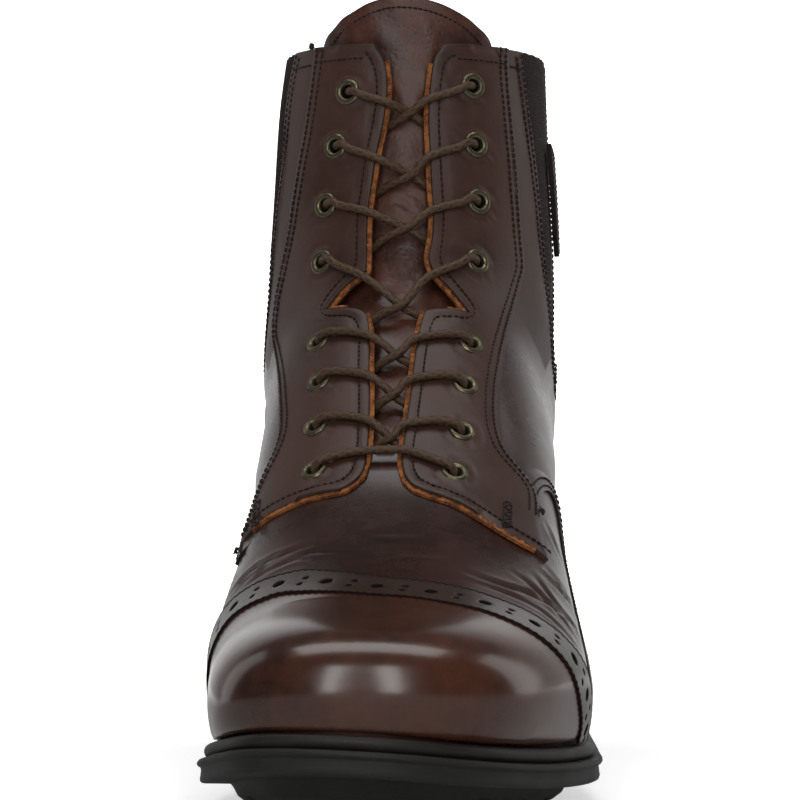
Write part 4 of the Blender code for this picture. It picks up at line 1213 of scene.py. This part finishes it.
# painted shadow: a near-black disc in each punched hole, in place of the leather beneath that lies in shade
shadow_discs = []
for hole in holes:
    p = on_skin(hole[:, 0], hole[:, 1], .85 * MM)
    shadow_discs.append((p, [tuple(range(len(p)))]))
joined("punched_holes_painted_shadow", shadow_discs, hole_shadow_paint, 40)

plate("side_patch_leather", PATCH, .1 * MM, 1.7 * MM, .8 * MM, (patch_leather, dark_cut),
      ("side_patch",), (), .5 * MM, lambda u, t, edge: -.25 * MM * np.exp(-((edge - 1.6 * MM) / (.4 * MM)) ** 2))


# elastic side panels with raised ribs
RIB = 1.35 * MM


def ribbed_gore(name, outline, node_name):
    loop = turned(spaced(rounded(outline, True), 1.0 * MM, True), 1)
    tall, wide = scale = real_scale(loop)
    lo, hi = loop.min(0), loop.max(0)
    grid = grid_of(np.arange(lo[0] + .02, hi[0], 1.6 * MM / tall), np.arange(lo[1], hi[1], RIB / 5 / wide))
    grid = grid[inside(grid, loop)]
    d, _ = from_line(grid * scale, loop * scale)
    flat, tris, (rim,) = triangulated(grid[d > .25 * MM], [loop], tall, wide)
    rib = .5 + .5 * np.cos(flat[:, 1] * wide / RIB * 2 * math.pi)
    top = on_skin(flat[:, 0], flat[:, 1], (-.95 + .42 * rib) * MM)
    under = on_skin(flat[:, 0], flat[:, 1], -1.9 * MM)
    count = len(flat)
    faces = [tuple(f) for f in tris] + [tuple(f[::-1] + count) for f in tris]
    faces += between(rim, [r + count for r in rim])
    piece(name, np.vstack([top, under]), faces, (elastic,), (node_name,), 60, None,
          {"rib": np.concatenate([rib, rib]) ** 1.5})


ribbed_gore("gore_lateral_elastic", GORE, "gore_lateral")
ribbed_gore("gore_medial_elastic", mirrored(GORE), "gore_medial")


# the tongue
TONGUE = (
    (29.25, -.095), (29.6, -.045), (29.68, -.005), (29.5, .05), (29.05, .105), (28.3, .165), (27.2, .215), (25, .20),
    (22, .19), (19, .18), (16, .17), (14, .15), (12, .12), (11.0, .09), (10.8, 0), (11.0, -.11), (12, -.14),
    (14, -.17), (16, -.18), (19, -.185), (22, -.19), (25, -.20), (27.2, -.215), (28.4, -.165),
)
TONGUE_FOLDS = (
    (.55, 1.0, ((13.1, -.06), (12.95, -.02), (12.95, .03))),
    (.45, 1.4, ((15.3, -.05), (15.6, .0), (15.9, .05))),
    (.40, 1.3, ((16.9, -.10), (16.4, -.05), (16.3, .0))),
    (.40, 1.2, ((17.6, .05), (16.9, .02), (16.4, .03))),
    (.35, 1.0, ((19.8, -.02), (19.4, .01), (18.9, .01))),
    (.30, 1.1, ((21.4, .03), (21.0, .0), (20.6, -.02))),
    (.35, 1.4, ((24.6, .045), (23.6, .04), (22.8, .045))),
    (.30, 1.5, ((24.8, -.03), (24.0, -.02), (23.4, -.03))),
)


def tongue_relief(u, t, edge):
    pressed = -1.0 * MM * smooth((np.abs(t - .005) - .045) / .03) * smooth((27.6 - u) / 2.2)
    swell = .5 * MM * np.exp(-((t - .005) / .03) ** 2) * smooth((27.0 - u) / 2.2)
    crackle = dents(u, t, 4.2 * MM, .16 * MM) + dents(u, t, 2.3 * MM, .07 * MM)
    folds = fold_height(u, t, TONGUE_FOLDS, 1.5 * MM, 2.0, 1, 99)
    return folds + pressed + swell + crackle + dents(u, t, 11 * MM, .2 * MM)


plate("tongue_leather_piece", TONGUE, -5.6 * MM, -3.7 * MM, 1.2 * MM, (tongue_leather, cut_edge),
      ("tongue",), (), .5 * MM, tongue_relief)


# raw flesh edges that show past the facings

def raw_band(name, path, width, low=.1 * MM, high=1.1 * MM, side=1):
    """A rough strip of hide along a cut, from under the facing out past its edge. Width is in metres per point."""
    p = spaced(rounded(path), .55 * MM)
    s = np.linspace(0, 1, len(p))
    wide = np.interp(s, np.linspace(0, 1, len(width)), width) * .62 * MM
    wide = wide * (1 + .3 * np.sin(s * 71 + rng.uniform(0, 6)) + .25 * np.sin(s * 173 + rng.uniform(0, 6)))
    ends = np.clip(np.minimum(s, 1 - s) / .02, 0, 1) ** .5
    rows = []
    for beyond, level, ragged in ((-1.2, low, 0), (.55, low - .1 * MM, .08), (1.0, low + .25 * MM, .24),
                                  (1.0, (low + high) / 2, .26), (.75, high - .1 * MM, .20), (-1.2, high - .2 * MM, 0)):
        reach = np.where(beyond < 0, -1.2 * MM, wide * beyond * ends) + rng.normal(0, 1, len(p)) * ragged * MM
        q = moved(p, -side * reach, False, 3)
        rows.append(on_skin(q[:, 0], q[:, 1], level + rng.normal(0, 1, len(p)) * ragged * .6 * MM))
    count = len(p)
    faces = []
    for r in range(len(rows)):
        a, b = r * count, (r + 1) % len(rows) * count
        faces += [(a + k, a + k + 1, b + k + 1, b + k) for k in range(count - 1)]
    faces += [tuple(r * count for r in range(len(rows)))[::-1], tuple(r * count + count - 1 for r in range(len(rows)))]
    piece(name, np.vstack(rows), faces, (raw_hide,), (), 60)


raw_band("raw_edge_medial_upper", [p for p in INNER_MEDIAL if 26.2 > p[0] > 15.5],
         (.1, .4, 1.0, 1.2, .7, .5, .5, .4, .8, .9, .2))
raw_band("raw_edge_medial_lower", [p for p in INNER_MEDIAL if p[0] < 15.55], (.3, .45, .2, .15, .15, .2, .3))
raw_band("raw_edge_medial_foot", FACING_MEDIAL[len(INNER_MEDIAL) - 1:len(INNER_MEDIAL) + 6],
         (.1, .6, 1.1, 1.5, 1.4, 1.0, .4))
raw_band("raw_edge_lateral_upper", [p for p in INNER_LATERAL if 26.2 > p[0] > 15.6],
         (.2, .7, 1.0, 1.1, 1.0, .7, .6, .5, .6, .8, .2), side=-1)
raw_band("raw_edge_lateral_lower", [p for p in INNER_LATERAL if p[0] < 15.6], (.15, .2, .15, .15, .2, .4), side=-1)
raw_band("raw_edge_lateral_foot", FACING_LATERAL[len(INNER_LATERAL) - 1:len(INNER_LATERAL) + 5],
         (.2, .6, .9, 1.2, 1.2, .8, .3), side=-1)


# eyelets: a rolled ring with a short barrel through the facing

def eyelet_ring(name, u, t):
    at = on_skin([u], [t], FACE_TOP)[0]
    out = outward(np.array([u]), np.array([t]))[0]
    ju, _ = slopes(np.array([u]), np.array([t]))
    up = ju[0] - out * ju[0].dot(out)
    up /= np.linalg.norm(up)
    side = np.cross(out, up)
    hole = EYELET_HOLE - .25 * MM
    profile = ((EYELET_R - .1 * MM, -.25), (EYELET_R + .05 * MM, .12), (EYELET_R - .12 * MM, .42),
               (EYELET_R - .5 * MM, .66), (EYELET_R - .95 * MM, .70), (hole + .30 * MM, .52), (hole + .04 * MM, .18),
               (hole, -.6), (hole, -3.8), (hole + .35 * MM, -3.8), (hole + .35 * MM, -.5))
    count = 36
    points = []
    for r, h in profile:
        for k in range(count):
            a = 2 * math.pi * k / count
            points.append(at + (side * math.cos(a) + up * math.sin(a)) * r + out * h * MM)
    piece(name + "_ring", points, ringed(len(profile), count, True), (aged_brass,), (name,), 60)


for k, (left, right) in enumerate(zip(EYELETS_MEDIAL, EYELETS_LATERAL)):
    eyelet_ring(f"eyelet_medial_{k + 1}", *left)
    eyelet_ring(f"eyelet_lateral_{k + 1}", *right)


# the lace: one cord through all sixteen eyelets. Each row gives where its two strands cross, the stations at
# which they go under the far edges, and how much they bow upwards.
LACE_ROWS = (
    (23.2, .012, 22.75, 22.55, .00), (20.5, .014, 20.15, 19.95, .05), (18.4, .010, 18.05, 17.9, .06),
    (15.7, .010, 15.5, 15.42, .00), (14.3, .008, 14.18, 14.15, .10), (13.32, .006, 13.2, 13.15, .10),
    (12.3, .006, 12.22, 12.22, .10),
)
OVER_LEATHER = FACE_TOP + LACE_R + .1 * MM
UNDER_LEATHER = -WALL - LACE_R - .05 * MM


def inner_edge(u, side):
    rows = INNER_MEDIAL if side < 0 else INNER_LATERAL
    rows = sorted((a, t) for a, t in rows if abs(t) < .093 and not 15.6 < a < 17.1)
    return float(np.interp(u, [a for a, t in rows], [t for a, t in rows]))


def strand(eye, row, side):
    """(station, share, height) points from an eyelet over its own edge and down under the far edge."""
    (ue, te), (uc, tc, end_m, end_l, bow) = eye, row
    far_u = end_m if side < 0 else end_l
    far = inner_edge(far_u, -side)
    high = 1.5 * MM if side > 0 else -.85 * MM
    near_u = ue + (uc - ue) * .62
    near = inner_edge(near_u, side)
    step = .018 * (-1 if te > 0 else 1)
    return [
        (ue, te, UNDER_LEATHER + .3 * MM), (ue, te, .2 * MM), (ue + .01, te + step * .12, 1.9 * MM),
        (ue + (uc - ue) * .06 + bow * .4, te + step, 3.35 * MM),
        (ue + (uc - ue) * .24 + bow, te + (near - te) * .42, OVER_LEATHER + .25 * MM),
        (near_u + bow * .7, near - side * .004, OVER_LEATHER - .15 * MM),
        (uc, tc, high),
        (uc + (far_u - uc) * .62, tc + (far - tc) * .6, high * .2 - 1.1 * MM),
        (far_u, far - side * .004, UNDER_LEATHER),
    ]


def under_run(a, b):
    """Beneath the leather from a far edge to the next eyelet."""
    return [(a[0] + (b[0] - a[0]) * s, a[1] + (b[1] - a[1]) * s, UNDER_LEATHER) for s in (.35, .7)]


def whole_route():
    route = []
    side = -1
    eyes = {-1: EYELETS_MEDIAL, 1: EYELETS_LATERAL}
    for k in range(7):
        route += strand(eyes[side][k], LACE_ROWS[k], side)
        side = -side
        route += under_run(route[-1], eyes[side][k + 1])
    (ul, tl), (ur, tr) = EYELETS_MEDIAL[7], EYELETS_LATERAL[7]
    bar = [
        (ul, tl, UNDER_LEATHER + .3 * MM), (ul, tl, .2 * MM), (ul + .01, tl + .002, 1.9 * MM),
        (ul + .04, tl + .018, 3.35 * MM), (ul + .09, tl + .06, OVER_LEATHER + .2 * MM),
        (ul + .11, -.078, OVER_LEATHER), (ul + .10, 0, OVER_LEATHER + .1 * MM), (ul + .10, .045, OVER_LEATHER),
        (ur + .12, tr - .055, OVER_LEATHER + .2 * MM), (ur + .04, tr - .018, 3.35 * MM),
        (ur + .01, tr - .002, 1.9 * MM), (ur, tr, .2 * MM), (ur, tr, UNDER_LEATHER + .3 * MM),
    ]
    route += bar[::-1] if side > 0 else bar
    for k in range(6, -1, -1):
        back = strand(eyes[side][k], LACE_ROWS[k], side)[::-1]
        route += under_run(route[-1], back[0]) + back
        side = -side
    return route


def cord_piece():
    route = np.array(whole_route())
    real = on_skin(route[:, 0], route[:, 1], route[:, 2])
    keep = np.concatenate([[True], np.linalg.norm(np.diff(real, axis=0), axis=1) > .2 * MM])
    real = real[keep]
    ext = np.vstack([2 * real[0] - real[1], real, 2 * real[-1] - real[-2]])
    fine = []
    for i in range(len(real) - 1):
        count = max(int(np.linalg.norm(real[i + 1] - real[i]) / (.4 * MM)), 2)
        for f in np.linspace(0, 1, count, endpoint=False):
            w = taps(f)
            fine.append(sum(w[k] * ext[i + k] for k in range(4)))
    fine = np.array(fine + [real[-1]])
    for _ in range(6):
        fine[1:-1] = (fine[:-2] + 2 * fine[1:-1] + fine[2:]) / 4
    s = run_length(fine)
    at = np.arange(0, s[-1], .34 * MM)
    path = np.stack([np.interp(at, s, fine[:, k]) for k in range(3)], 1)
    points, faces = swept(path, LACE_R, LACE_SIDES)
    points = np.array(points)
    ring = np.repeat(np.arange(len(path)), LACE_SIDES)
    turn = np.tile(np.arange(LACE_SIDES), len(path)) * 2 * math.pi / LACE_SIDES
    along = at[ring]
    # two sets of yarns that wind opposite ways round the core
    lay = 2 * math.pi / (3.4 * MM)
    one = np.cos(4 * turn + lay * along)
    two = np.cos(4 * turn - lay * along)
    yarn = np.maximum(one, two) ** 3
    centre = path[ring]
    out = points - centre
    points = centre + out * (.96 + .07 * yarn)[:, None]
    nodes = ["lace_bar"] + [f"lace_crossing_{k + 1}" for k in range(7)]
    piece("waxed_lace", points, faces, (waxed_cord,), nodes, 80, None,
          {"yarn": np.clip(.5 + .5 * yarn, 0, 1)})


cord_piece()


# sewing

def rows_of(path, offsets, level, closed=False, ease=6, **more):
    found = []
    base = rounded(path, closed)
    for offset in offsets:
        p = spaced(base, 1.2 * MM, closed)
        p = moved(p, offset * MM, closed, ease)
        found += stitches(p, level, closed=closed, **more)
    return found


def cross_stitch_box(corners, level):
    """A small box tack: its outline and a zigzag down its middle."""
    c = np.array(corners)
    rows = stitches(np.vstack([c, c[:1]]), level, 1.5 * MM, .1, THREAD)
    zig = []
    for k in range(7):
        f = (k + .5) / 7
        a, b = c[0] + (c[3] - c[0]) * f, c[1] + (c[2] - c[1]) * f
        zig.append(a if k % 2 else b)
    return rows + stitches(np.array(zig), level, 1.4 * MM, .05, THREAD * .9)


ON_FACE = FACE_TOP + .02 * MM
ON_UPPER = .12 * MM
seams = []
cut_m, cut_l = len(INNER_MEDIAL), len(INNER_LATERAL)
seams += rows_of(FACING_MEDIAL[:cut_m + 7], (-2.7,), ON_FACE)
seams += rows_of(FACING_LATERAL[:cut_l + 6], (2.7,), ON_FACE)
seams += rows_of(FACING_MEDIAL[cut_m + 8:], (-2.4, -4.6), ON_FACE, ease=10)
seams += rows_of(FACING_LATERAL[cut_l + 7:], (2.4, 4.6), ON_FACE, ease=10)
for a, b, level in ((-.185, -.075, ON_FACE), (.10, .215, ON_FACE), (-.285, -.21, ON_UPPER), (.24, .285, ON_UPPER),
                    (-.985, -.60, ON_UPPER), (.60, .985, ON_UPPER)):
    seams += rows_of(level_run(a, b, 2 * MM), (-3.2,), level)
for window, sign in ((GORE, -1), (mirrored(GORE), 1)):
    seams += rows_of(window, (sign * 1.7, sign * 4.2), ON_UPPER, ease=8)
joined("seam_stitches", seams, thread)

tacks = cross_stitch_box(((11.25, .318), (11.35, .338), (10.60, .352), (10.50, .330)), ON_FACE)
tacks += cross_stitch_box(((12.15, -.400), (12.05, -.375), (11.25, -.385), (11.35, -.410)), ON_FACE)
for sign in (1, -1):
    tacks += stitches(np.array([(19.4, sign * .405), (18.9, sign * .42), (19.35, sign * .436)]), ON_UPPER + .2 * MM,
                      1.1 * MM, .05)
joined("box_tacks", tacks, thread)


def loose_knot(u, t, level, size=.75 * MM, tails=3):
    """A trimmed thread end: a small twisted lump with short tails."""
    at = on_skin([u], [t], level)[0]
    out = outward(np.array([u]), np.array([t]))[0]
    side = np.cross(out, (0, 0, 1.0))
    side /= np.linalg.norm(side)
    up = np.cross(side, out)
    a = np.linspace(0, 4 * math.pi, 26)
    loop = [at + (side * math.cos(k) + up * math.sin(k)) * size * (.8 + .2 * math.sin(1.5 * k))
            + out * size * (.5 + .45 * math.sin(2.3 * k)) for k in a]
    found = [swept(loop, THREAD, 6)]
    for k in range(tails):
        d = side * rng.normal() + up * rng.normal() + out * .5
        d /= np.linalg.norm(d)
        tail = [at + out * size * .4 + d * s * MM + side * .2 * MM * math.sin(s * 2) for s in np.linspace(0, 1.7, 6)]
        found.append(swept(tail, np.linspace(THREAD * .8, THREAD * .3, 6), 6))
    return found


joined("thread_ends", loose_knot(27.02, -.195, FACE_TOP) + loose_knot(11.9, .435, 1.2 * MM)
       + loose_knot(11.85, -.515, 1.2 * MM), thread)


# the quarter's curved front edge over the vamp's wing, on both sides, with a double row
WING_LATERAL = ((10.9, .455), (11.6, .425), (12.4, .430), (13.05, .462), (13.35, .515), (13.15, .575), (12.5, .635),
                (11.3, .70), (9.6, .765), (7.9, .835))
WING_MEDIAL = ((11.3, -.520), (12.0, -.515), (12.7, -.535), (13.0, -.575), (12.8, -.62), (12.1, -.67), (10.9, -.725),
               (9.3, -.78), (7.8, -.84))
wing_rows = []
for sign, name, wing in ((1, "lateral", WING_LATERAL), (-1, "medial", WING_MEDIAL)):
    base = spaced(rounded(wing), 1.2 * MM)
    far = moved(base, sign * 7.5 * MM, False, 20)
    outline = np.vstack([base, far[::-1]])
    line = on_skin(base[:, 0], base[:, 1])

    def step_down(u, t, edge, line=line):
        d, _ = from_line(on_skin(u, t), line, False)
        return -.80 * MM * smooth((d - 3.2 * MM) / (3.6 * MM)) + dents(u, t, 12 * MM, .08 * MM)

    plate("quarter_edge_" + name, outline, -.4 * MM, .95 * MM, 1.0 * MM, (vamp_leather, dark_cut),
          (), (), .3 * MM, step_down, 1.1 * MM)
    for offset in (1.5, 3.7):
        p = moved(base, sign * offset * MM, False, 6)
        wing_rows += stitches(p, .95 * MM)
joined("quarter_stitches", wing_rows, thread)

# the closed seam down the back, and the stitches of the tongue and the patch
back_rows = []
for sign in (-1, 1):
    back_rows += stitches(np.array([(u, sign * (1 - .016)) for u in np.linspace(19.6, 26.7, 20)]), ON_UPPER)
groove = on_skin(np.linspace(19.2, 26.95, 90), np.full(90, 1.0), .06 * MM)
joined("back_seam", back_rows + [swept(groove, .28 * MM, 6)], thread)
top_run = [TONGUE[k] for k in (22, 23, 0, 1, 2, 3, 4, 5, 6)]
joined("tongue_and_patch_stitches", rows_of(top_run, (-3.0,), -3.7 * MM + .1 * MM, ease=4)
       + rows_of(PATCH, (-1.5,) if turning(np.array(PATCH)) < 0 else (1.5,), 1.55 * MM, True, 0),
       thread)


# the sole

def ring_points(inset, level, count, start=0.0):
    """One closed ring, medial side toe to heel then lateral side heel to toe."""
    found = []
    for half in halves(inset):
        s = run_length(half)
        first = float(np.interp(start * LENGTH, half[:, 1], s)) if start else 0.0
        at = np.linspace(first, s[-1], count)
        found.append(np.stack([np.interp(at, s, half[:, 0]), np.interp(at, s, half[:, 1])], 1))
    med, lat = found
    path = np.vstack([med, lat[-2:0:-1]] if not start else [med, lat[-2::-1]])
    z = level(path[:, 0], path[:, 1]) if callable(level) else np.full(len(path), level)
    return np.column_stack([path[:, 0], path[:, 1] - LENGTH / 2, z])


def cap_faces(first, count, total, start, upward):
    """Quads between matching points of the two sides."""
    faces = []
    for k in range(count - 1):
        a, b = k, k + 1
        c = (total - k - 1 if start else total - k) % total
        d = (total - k - 2 if start else total - k - 1) % total
        face = list(dict.fromkeys(first + v for v in (a, b, d, c)))
        if len(face) > 2:
            faces.append(face if upward else face[::-1])
    return faces


def stacked(rows, count, start=0.0):
    """A solid of rings of (inset, level), closed below and above."""
    rings = [ring_points(inset, level, count, start) for inset, level in rows]
    total = len(rings[0])
    faces = ringed(len(rows), total) + cap_faces(0, count, total, start, False)
    return np.vstack(rings), faces + cap_faces((len(rows) - 1) * total, count, total, start, True)


def above(drop):
    """A level this far above the outsole's underside."""
    return lambda x, y: seat(x, y) - TREAD - BAND + drop


def outward_faces(obj):
    """Turns every face of a closed mesh outwards."""
    work = bmesh.new()
    work.from_mesh(obj.data)
    bmesh.ops.recalc_face_normals(work, faces=work.faces)
    work.to_mesh(obj.data)
    work.free()


def cut_by(obj, bars):
    """Takes a set of straight bars out of a solid and keeps the result as its mesh."""
    points, faces = gathered(bars)
    mesh = bpy.data.meshes.new("grooves")
    mesh.from_pydata([tuple(map(float, p)) for p in points], [], faces)
    cutter = bpy.data.objects.new("grooves", mesh)
    bpy.context.scene.collection.objects.link(cutter)
    outward_faces(cutter)
    step = obj.modifiers.new("cut", "BOOLEAN")
    step.operation = "DIFFERENCE"
    step.solver = "EXACT"
    step.object = cutter
    graph = bpy.context.evaluated_depsgraph_get()
    made = bpy.data.meshes.new_from_object(obj.evaluated_get(graph))
    obj.modifiers.clear()
    obj.data = made
    bpy.data.objects.remove(cutter)
    made.set_sharp_from_angle(angle=math.radians(35))


def bar(corners, low, high):
    """A straight-sided bar from four plan corners (share of WIDTH, share of LENGTH)."""
    plan = [(x * WIDTH, (y - .5) * LENGTH) for x, y in corners]
    points = [(*p, low) for p in plan] + [(*p, high) for p in plan]
    return points, [(0, 1, 2, 3), (4, 5, 6, 7)] + [(k, (k + 1) % 4, (k + 1) % 4 + 4, k + 4) for k in range(4)]


def tread_inset(inset):
    """The inset of the tread's side, which comes out flush with the heel block behind its breast."""
    return lambda share: np.interp(share, (HEEL_BREAST, HEEL_BREAST + .012), (inset, 2.7 * MM + inset * .01))


sole_rows = (
    (tread_inset(18.0 * MM), above(0)), (tread_inset(15.0 * MM), above(.35 * MM)),
    (tread_inset(12.2 * MM), above(1.3 * MM)), (tread_inset(10.2 * MM), above(2.8 * MM)),
    (tread_inset(9.0 * MM), above(TREAD)),
    (tread_inset(8.4 * MM), above(TREAD + .75 * MM)), (2.6 * MM, above(TREAD + .75 * MM)),
    (1.6 * MM, above(TREAD + .8 * MM)),
    (.95 * MM, above(TREAD + 1.1 * MM)), (.72 * MM, above(TREAD + 1.8 * MM)),
    (.85 * MM, above(TREAD + BAND * .35)), (1.05 * MM, above(TREAD + BAND * .60)),
    (.95 * MM, above(TREAD + BAND * .68)), (.30 * MM, above(TREAD + BAND * .74)), (.02 * MM, above(TREAD + BAND * .80)),
    (.05 * MM, above(TREAD + BAND * .87)), (.45 * MM, above(TREAD + BAND * .96)), (1.2 * MM, above(TREAD + BAND)),
)
points, faces = stacked(sole_rows, 150)
outsole = piece("outsole_rubber", points, faces, (sole_rubber,), ("outsole",), 45)
outward_faces(outsole)
grooves = []
MAIN_GROOVES = (.10, .165, .23, .31, .375, .44)
for y in MAIN_GROOVES:
    depth = 2.4 * MM + max(0.0, float(seat(0, y * LENGTH)) - TREAD - BAND)
    grooves.append(bar(((-.6, y + .012), (.6, y - .004), (.6, y + .010), (-.6, y + .026)), -5 * MM, depth))
for a, b in zip((.035,) + MAIN_GROOVES, MAIN_GROOVES + (.50,)):
    count = int((b - a - .014) * LENGTH / (3.6 * MM))
    for k in range(count):
        y = a + .014 + (k + .7) * (b - a - .014) / (count + .4)
        depth = .7 * MM + max(0.0, float(seat(0, y * LENGTH)) - TREAD - BAND)
        grooves.append(bar(((-.6, y + .010), (.6, y - .006), (.6, y - .0025), (-.6, y + .0135)), -5 * MM, depth))
cut_by(outsole, grooves)

points, faces = stacked((
    (4.8 * MM, 0.0), (4.1 * MM, .15 * MM), (3.7 * MM, .6 * MM), (3.3 * MM, 2.0 * MM), (2.9 * MM, 5.5 * MM),
    (2.7 * MM, 6.8 * MM), (3.1 * MM, 7.1 * MM), (2.65 * MM, 7.4 * MM), (2.3 * MM, above(-.82 * MM)),
    (2.5 * MM, above(-.02 * MM)),
), 90, HEEL_BREAST)
heel = piece("heel_block", points, faces, (heel_rubber,), ("heel",), 45)
outward_faces(heel)
grooves = [bar(((-.6, y), (.6, y), (.6, y + .014), (-.6, y + .014)), -5 * MM, 2.4 * MM) for y in (.80, .86, .92)]
grooves += [bar(((-.6, y), (.6, y), (.6, y + .0035), (-.6, y + .0035)), -5 * MM, .7 * MM)
            for y in (.765, .782, .828, .843, .888, .903, .948, .963)]
cut_by(heel, grooves)


def bead():
    rows = []
    middle, across, high = 2.9 * MM, 1.1 * MM, BEAD / 2
    rows.append((3.2 * MM, 0.0))
    for a in np.linspace(-75, 90, 9):
        c, s = math.cos(math.radians(a)), math.sin(math.radians(a))
        rows.append((middle - across * c + .6 * MM * (1 - c), high + high * .97 * s))
    rows += [(lambda s: foot_inset(s) - .2 * MM, BEAD * .96), (lambda s: foot_inset(s) + .5 * MM, BEAD * .7),
             (lambda s: foot_inset(s) + .5 * MM, 0.0)]
    rings = [ring_points(inset, above(TREAD + BAND + level), 170) for inset, level in rows]
    made = piece("welt_bead", np.vstack(rings), ringed(len(rows), len(rings[0]), True), (bead_rubber,), ("welt",), 50)
    outward_faces(made)


bead()


def insole_inset(share):
    return foot_inset(share) + WALL + .3 * MM


points, faces = stacked((
    (insole_inset, above(TREAD + BAND + .1 * MM)), (insole_inset, above(TREAD + BAND + 3.2 * MM)),
    (lambda s: insole_inset(s) + .5 * MM, above(TREAD + BAND + 3.6 * MM)),
    (lambda s: insole_inset(s) + 2.0 * MM, above(TREAD + BAND + 3.4 * MM)),
    (lambda s: insole_inset(s) + 7.0 * MM, above(TREAD + BAND + 2.9 * MM)),
), 80)
insole = piece("insole_cover", points, faces, (insole_leather,), ("insole",), 50, None,
               {"edge": np.full(len(points), 1.0)})
outward_faces(insole)


# camera, floor and lights

PHOTO = 800
CAMERA_AWAY = 1200 * MM
CAMERA_HIGH = 102 * MM
CAMERA_TURN = math.radians(3.2)
FOCUS = 4485
PRINCIPAL_X = 417
camera_data = bpy.data.cameras.new("camera")
camera_data.sensor_width = 36
camera_data.lens = FOCUS / PHOTO * 36
camera_data.shift_x = -(PRINCIPAL_X - PHOTO / 2) / PHOTO
camera_data.clip_start = .05
camera_data.clip_end = 30
camera = bpy.data.objects.new("camera", camera_data)
camera.location = (CAMERA_AWAY * math.sin(CAMERA_TURN), -CAMERA_AWAY * math.cos(CAMERA_TURN), CAMERA_HIGH)
camera.rotation_euler = (math.pi / 2, 0, CAMERA_TURN)
bpy.context.scene.collection.objects.link(camera)
bpy.context.scene.camera = camera


def paper():
    """A pale paper sweep: floor, curve and wall."""
    profile = [(-7, 0), (0, 0), (3.2, 0)]
    profile += [(3.2 + .6 * math.sin(a), .6 - .6 * math.cos(a)) for a in np.linspace(.1, math.pi / 2, 12)]
    profile += [(3.8, 3.4)]
    points = [(x, y, z - .0002) for x in (-7.0, 7.0) for y, z in profile]
    count = len(profile)
    faces = [(k, k + count, k + count + 1, k + 1) for k in range(count - 1)]
    made, tree, shader = finish_of("paper", Roughness=.9, Specular_IOR_Level=.1, Emission_Color=(1, 1, 1, 1))
    direct = node(tree, "ShaderNodeLightPath").outputs["Is Camera Ray"]
    grain = noise(tree, 60.0)
    feed(tree, blended(tree, direct, (.50, .50, .50), blended(tree, grain, (.86, .86, .86), (.90, .90, .90))),
         shader.inputs["Base Color"])
    feed(tree, ranged(tree, direct, 0.0, 1.0, .08, .55), shader.inputs["Emission Strength"])
    mesh = bpy.data.meshes.new("paper_sweep")
    mesh.from_pydata(points, [], faces)
    mesh.materials.append(made)
    mesh.polygons.foreach_set("use_smooth", np.ones(len(faces), bool))
    obj = bpy.data.objects.new("paper_sweep", mesh)
    bpy.context.scene.collection.objects.link(obj)


paper()


def softbox(name, place, aim, wide, tall, watts):
    data = bpy.data.lights.new(name, "AREA")
    data.shape = "RECTANGLE"
    data.size = wide
    data.size_y = tall
    data.energy = watts
    obj = bpy.data.objects.new(name, data)
    obj.location = place
    obj.rotation_euler = (Vector(aim) - Vector(place)).to_track_quat("-Z", "Y").to_euler()
    obj.visible_camera = False
    bpy.context.scene.collection.objects.link(obj)


softbox("left_side", (-1.1, .45, .45), (0, 0, .12), .5, 1.3, 1.6)
softbox("right_side", (1.1, .45, .45), (0, 0, .12), .5, 1.3, 2.8)
softbox("overhead", (0, -.10, 1.35), (0, -.05, .05), 1.3, .6, 7.4)
softbox("strip_left", (-.28, -1.50, .68), (0, -.1, .09), .24, 1.30, 6.0)
softbox("strip_centre", (.33, -1.50, .68), (0, -.1, .09), .24, 1.30, 6.4)
softbox("back_wash", (0, .55, .8), (0, 2.2, 0), 3.0, .3, 24)
softbox("wall_wash", (0, 1.2, 1.6), (0, 3.8, .2), 3.0, .5, 100)
world = bpy.data.worlds.new("studio")
world.use_nodes = True
sky = world.node_tree
seen = node(sky, "ShaderNodeLightPath").outputs["Is Camera Ray"]
sky.links.new(ranged(sky, seen, 0.0, 1.0, .07, .9), sky.nodes["Background"].inputs["Strength"])
sky.nodes["Background"].inputs["Color"].default_value = (1, 1, 1, 1)
bpy.context.scene.world = world
bpy.context.scene.view_settings.view_transform = "Standard"
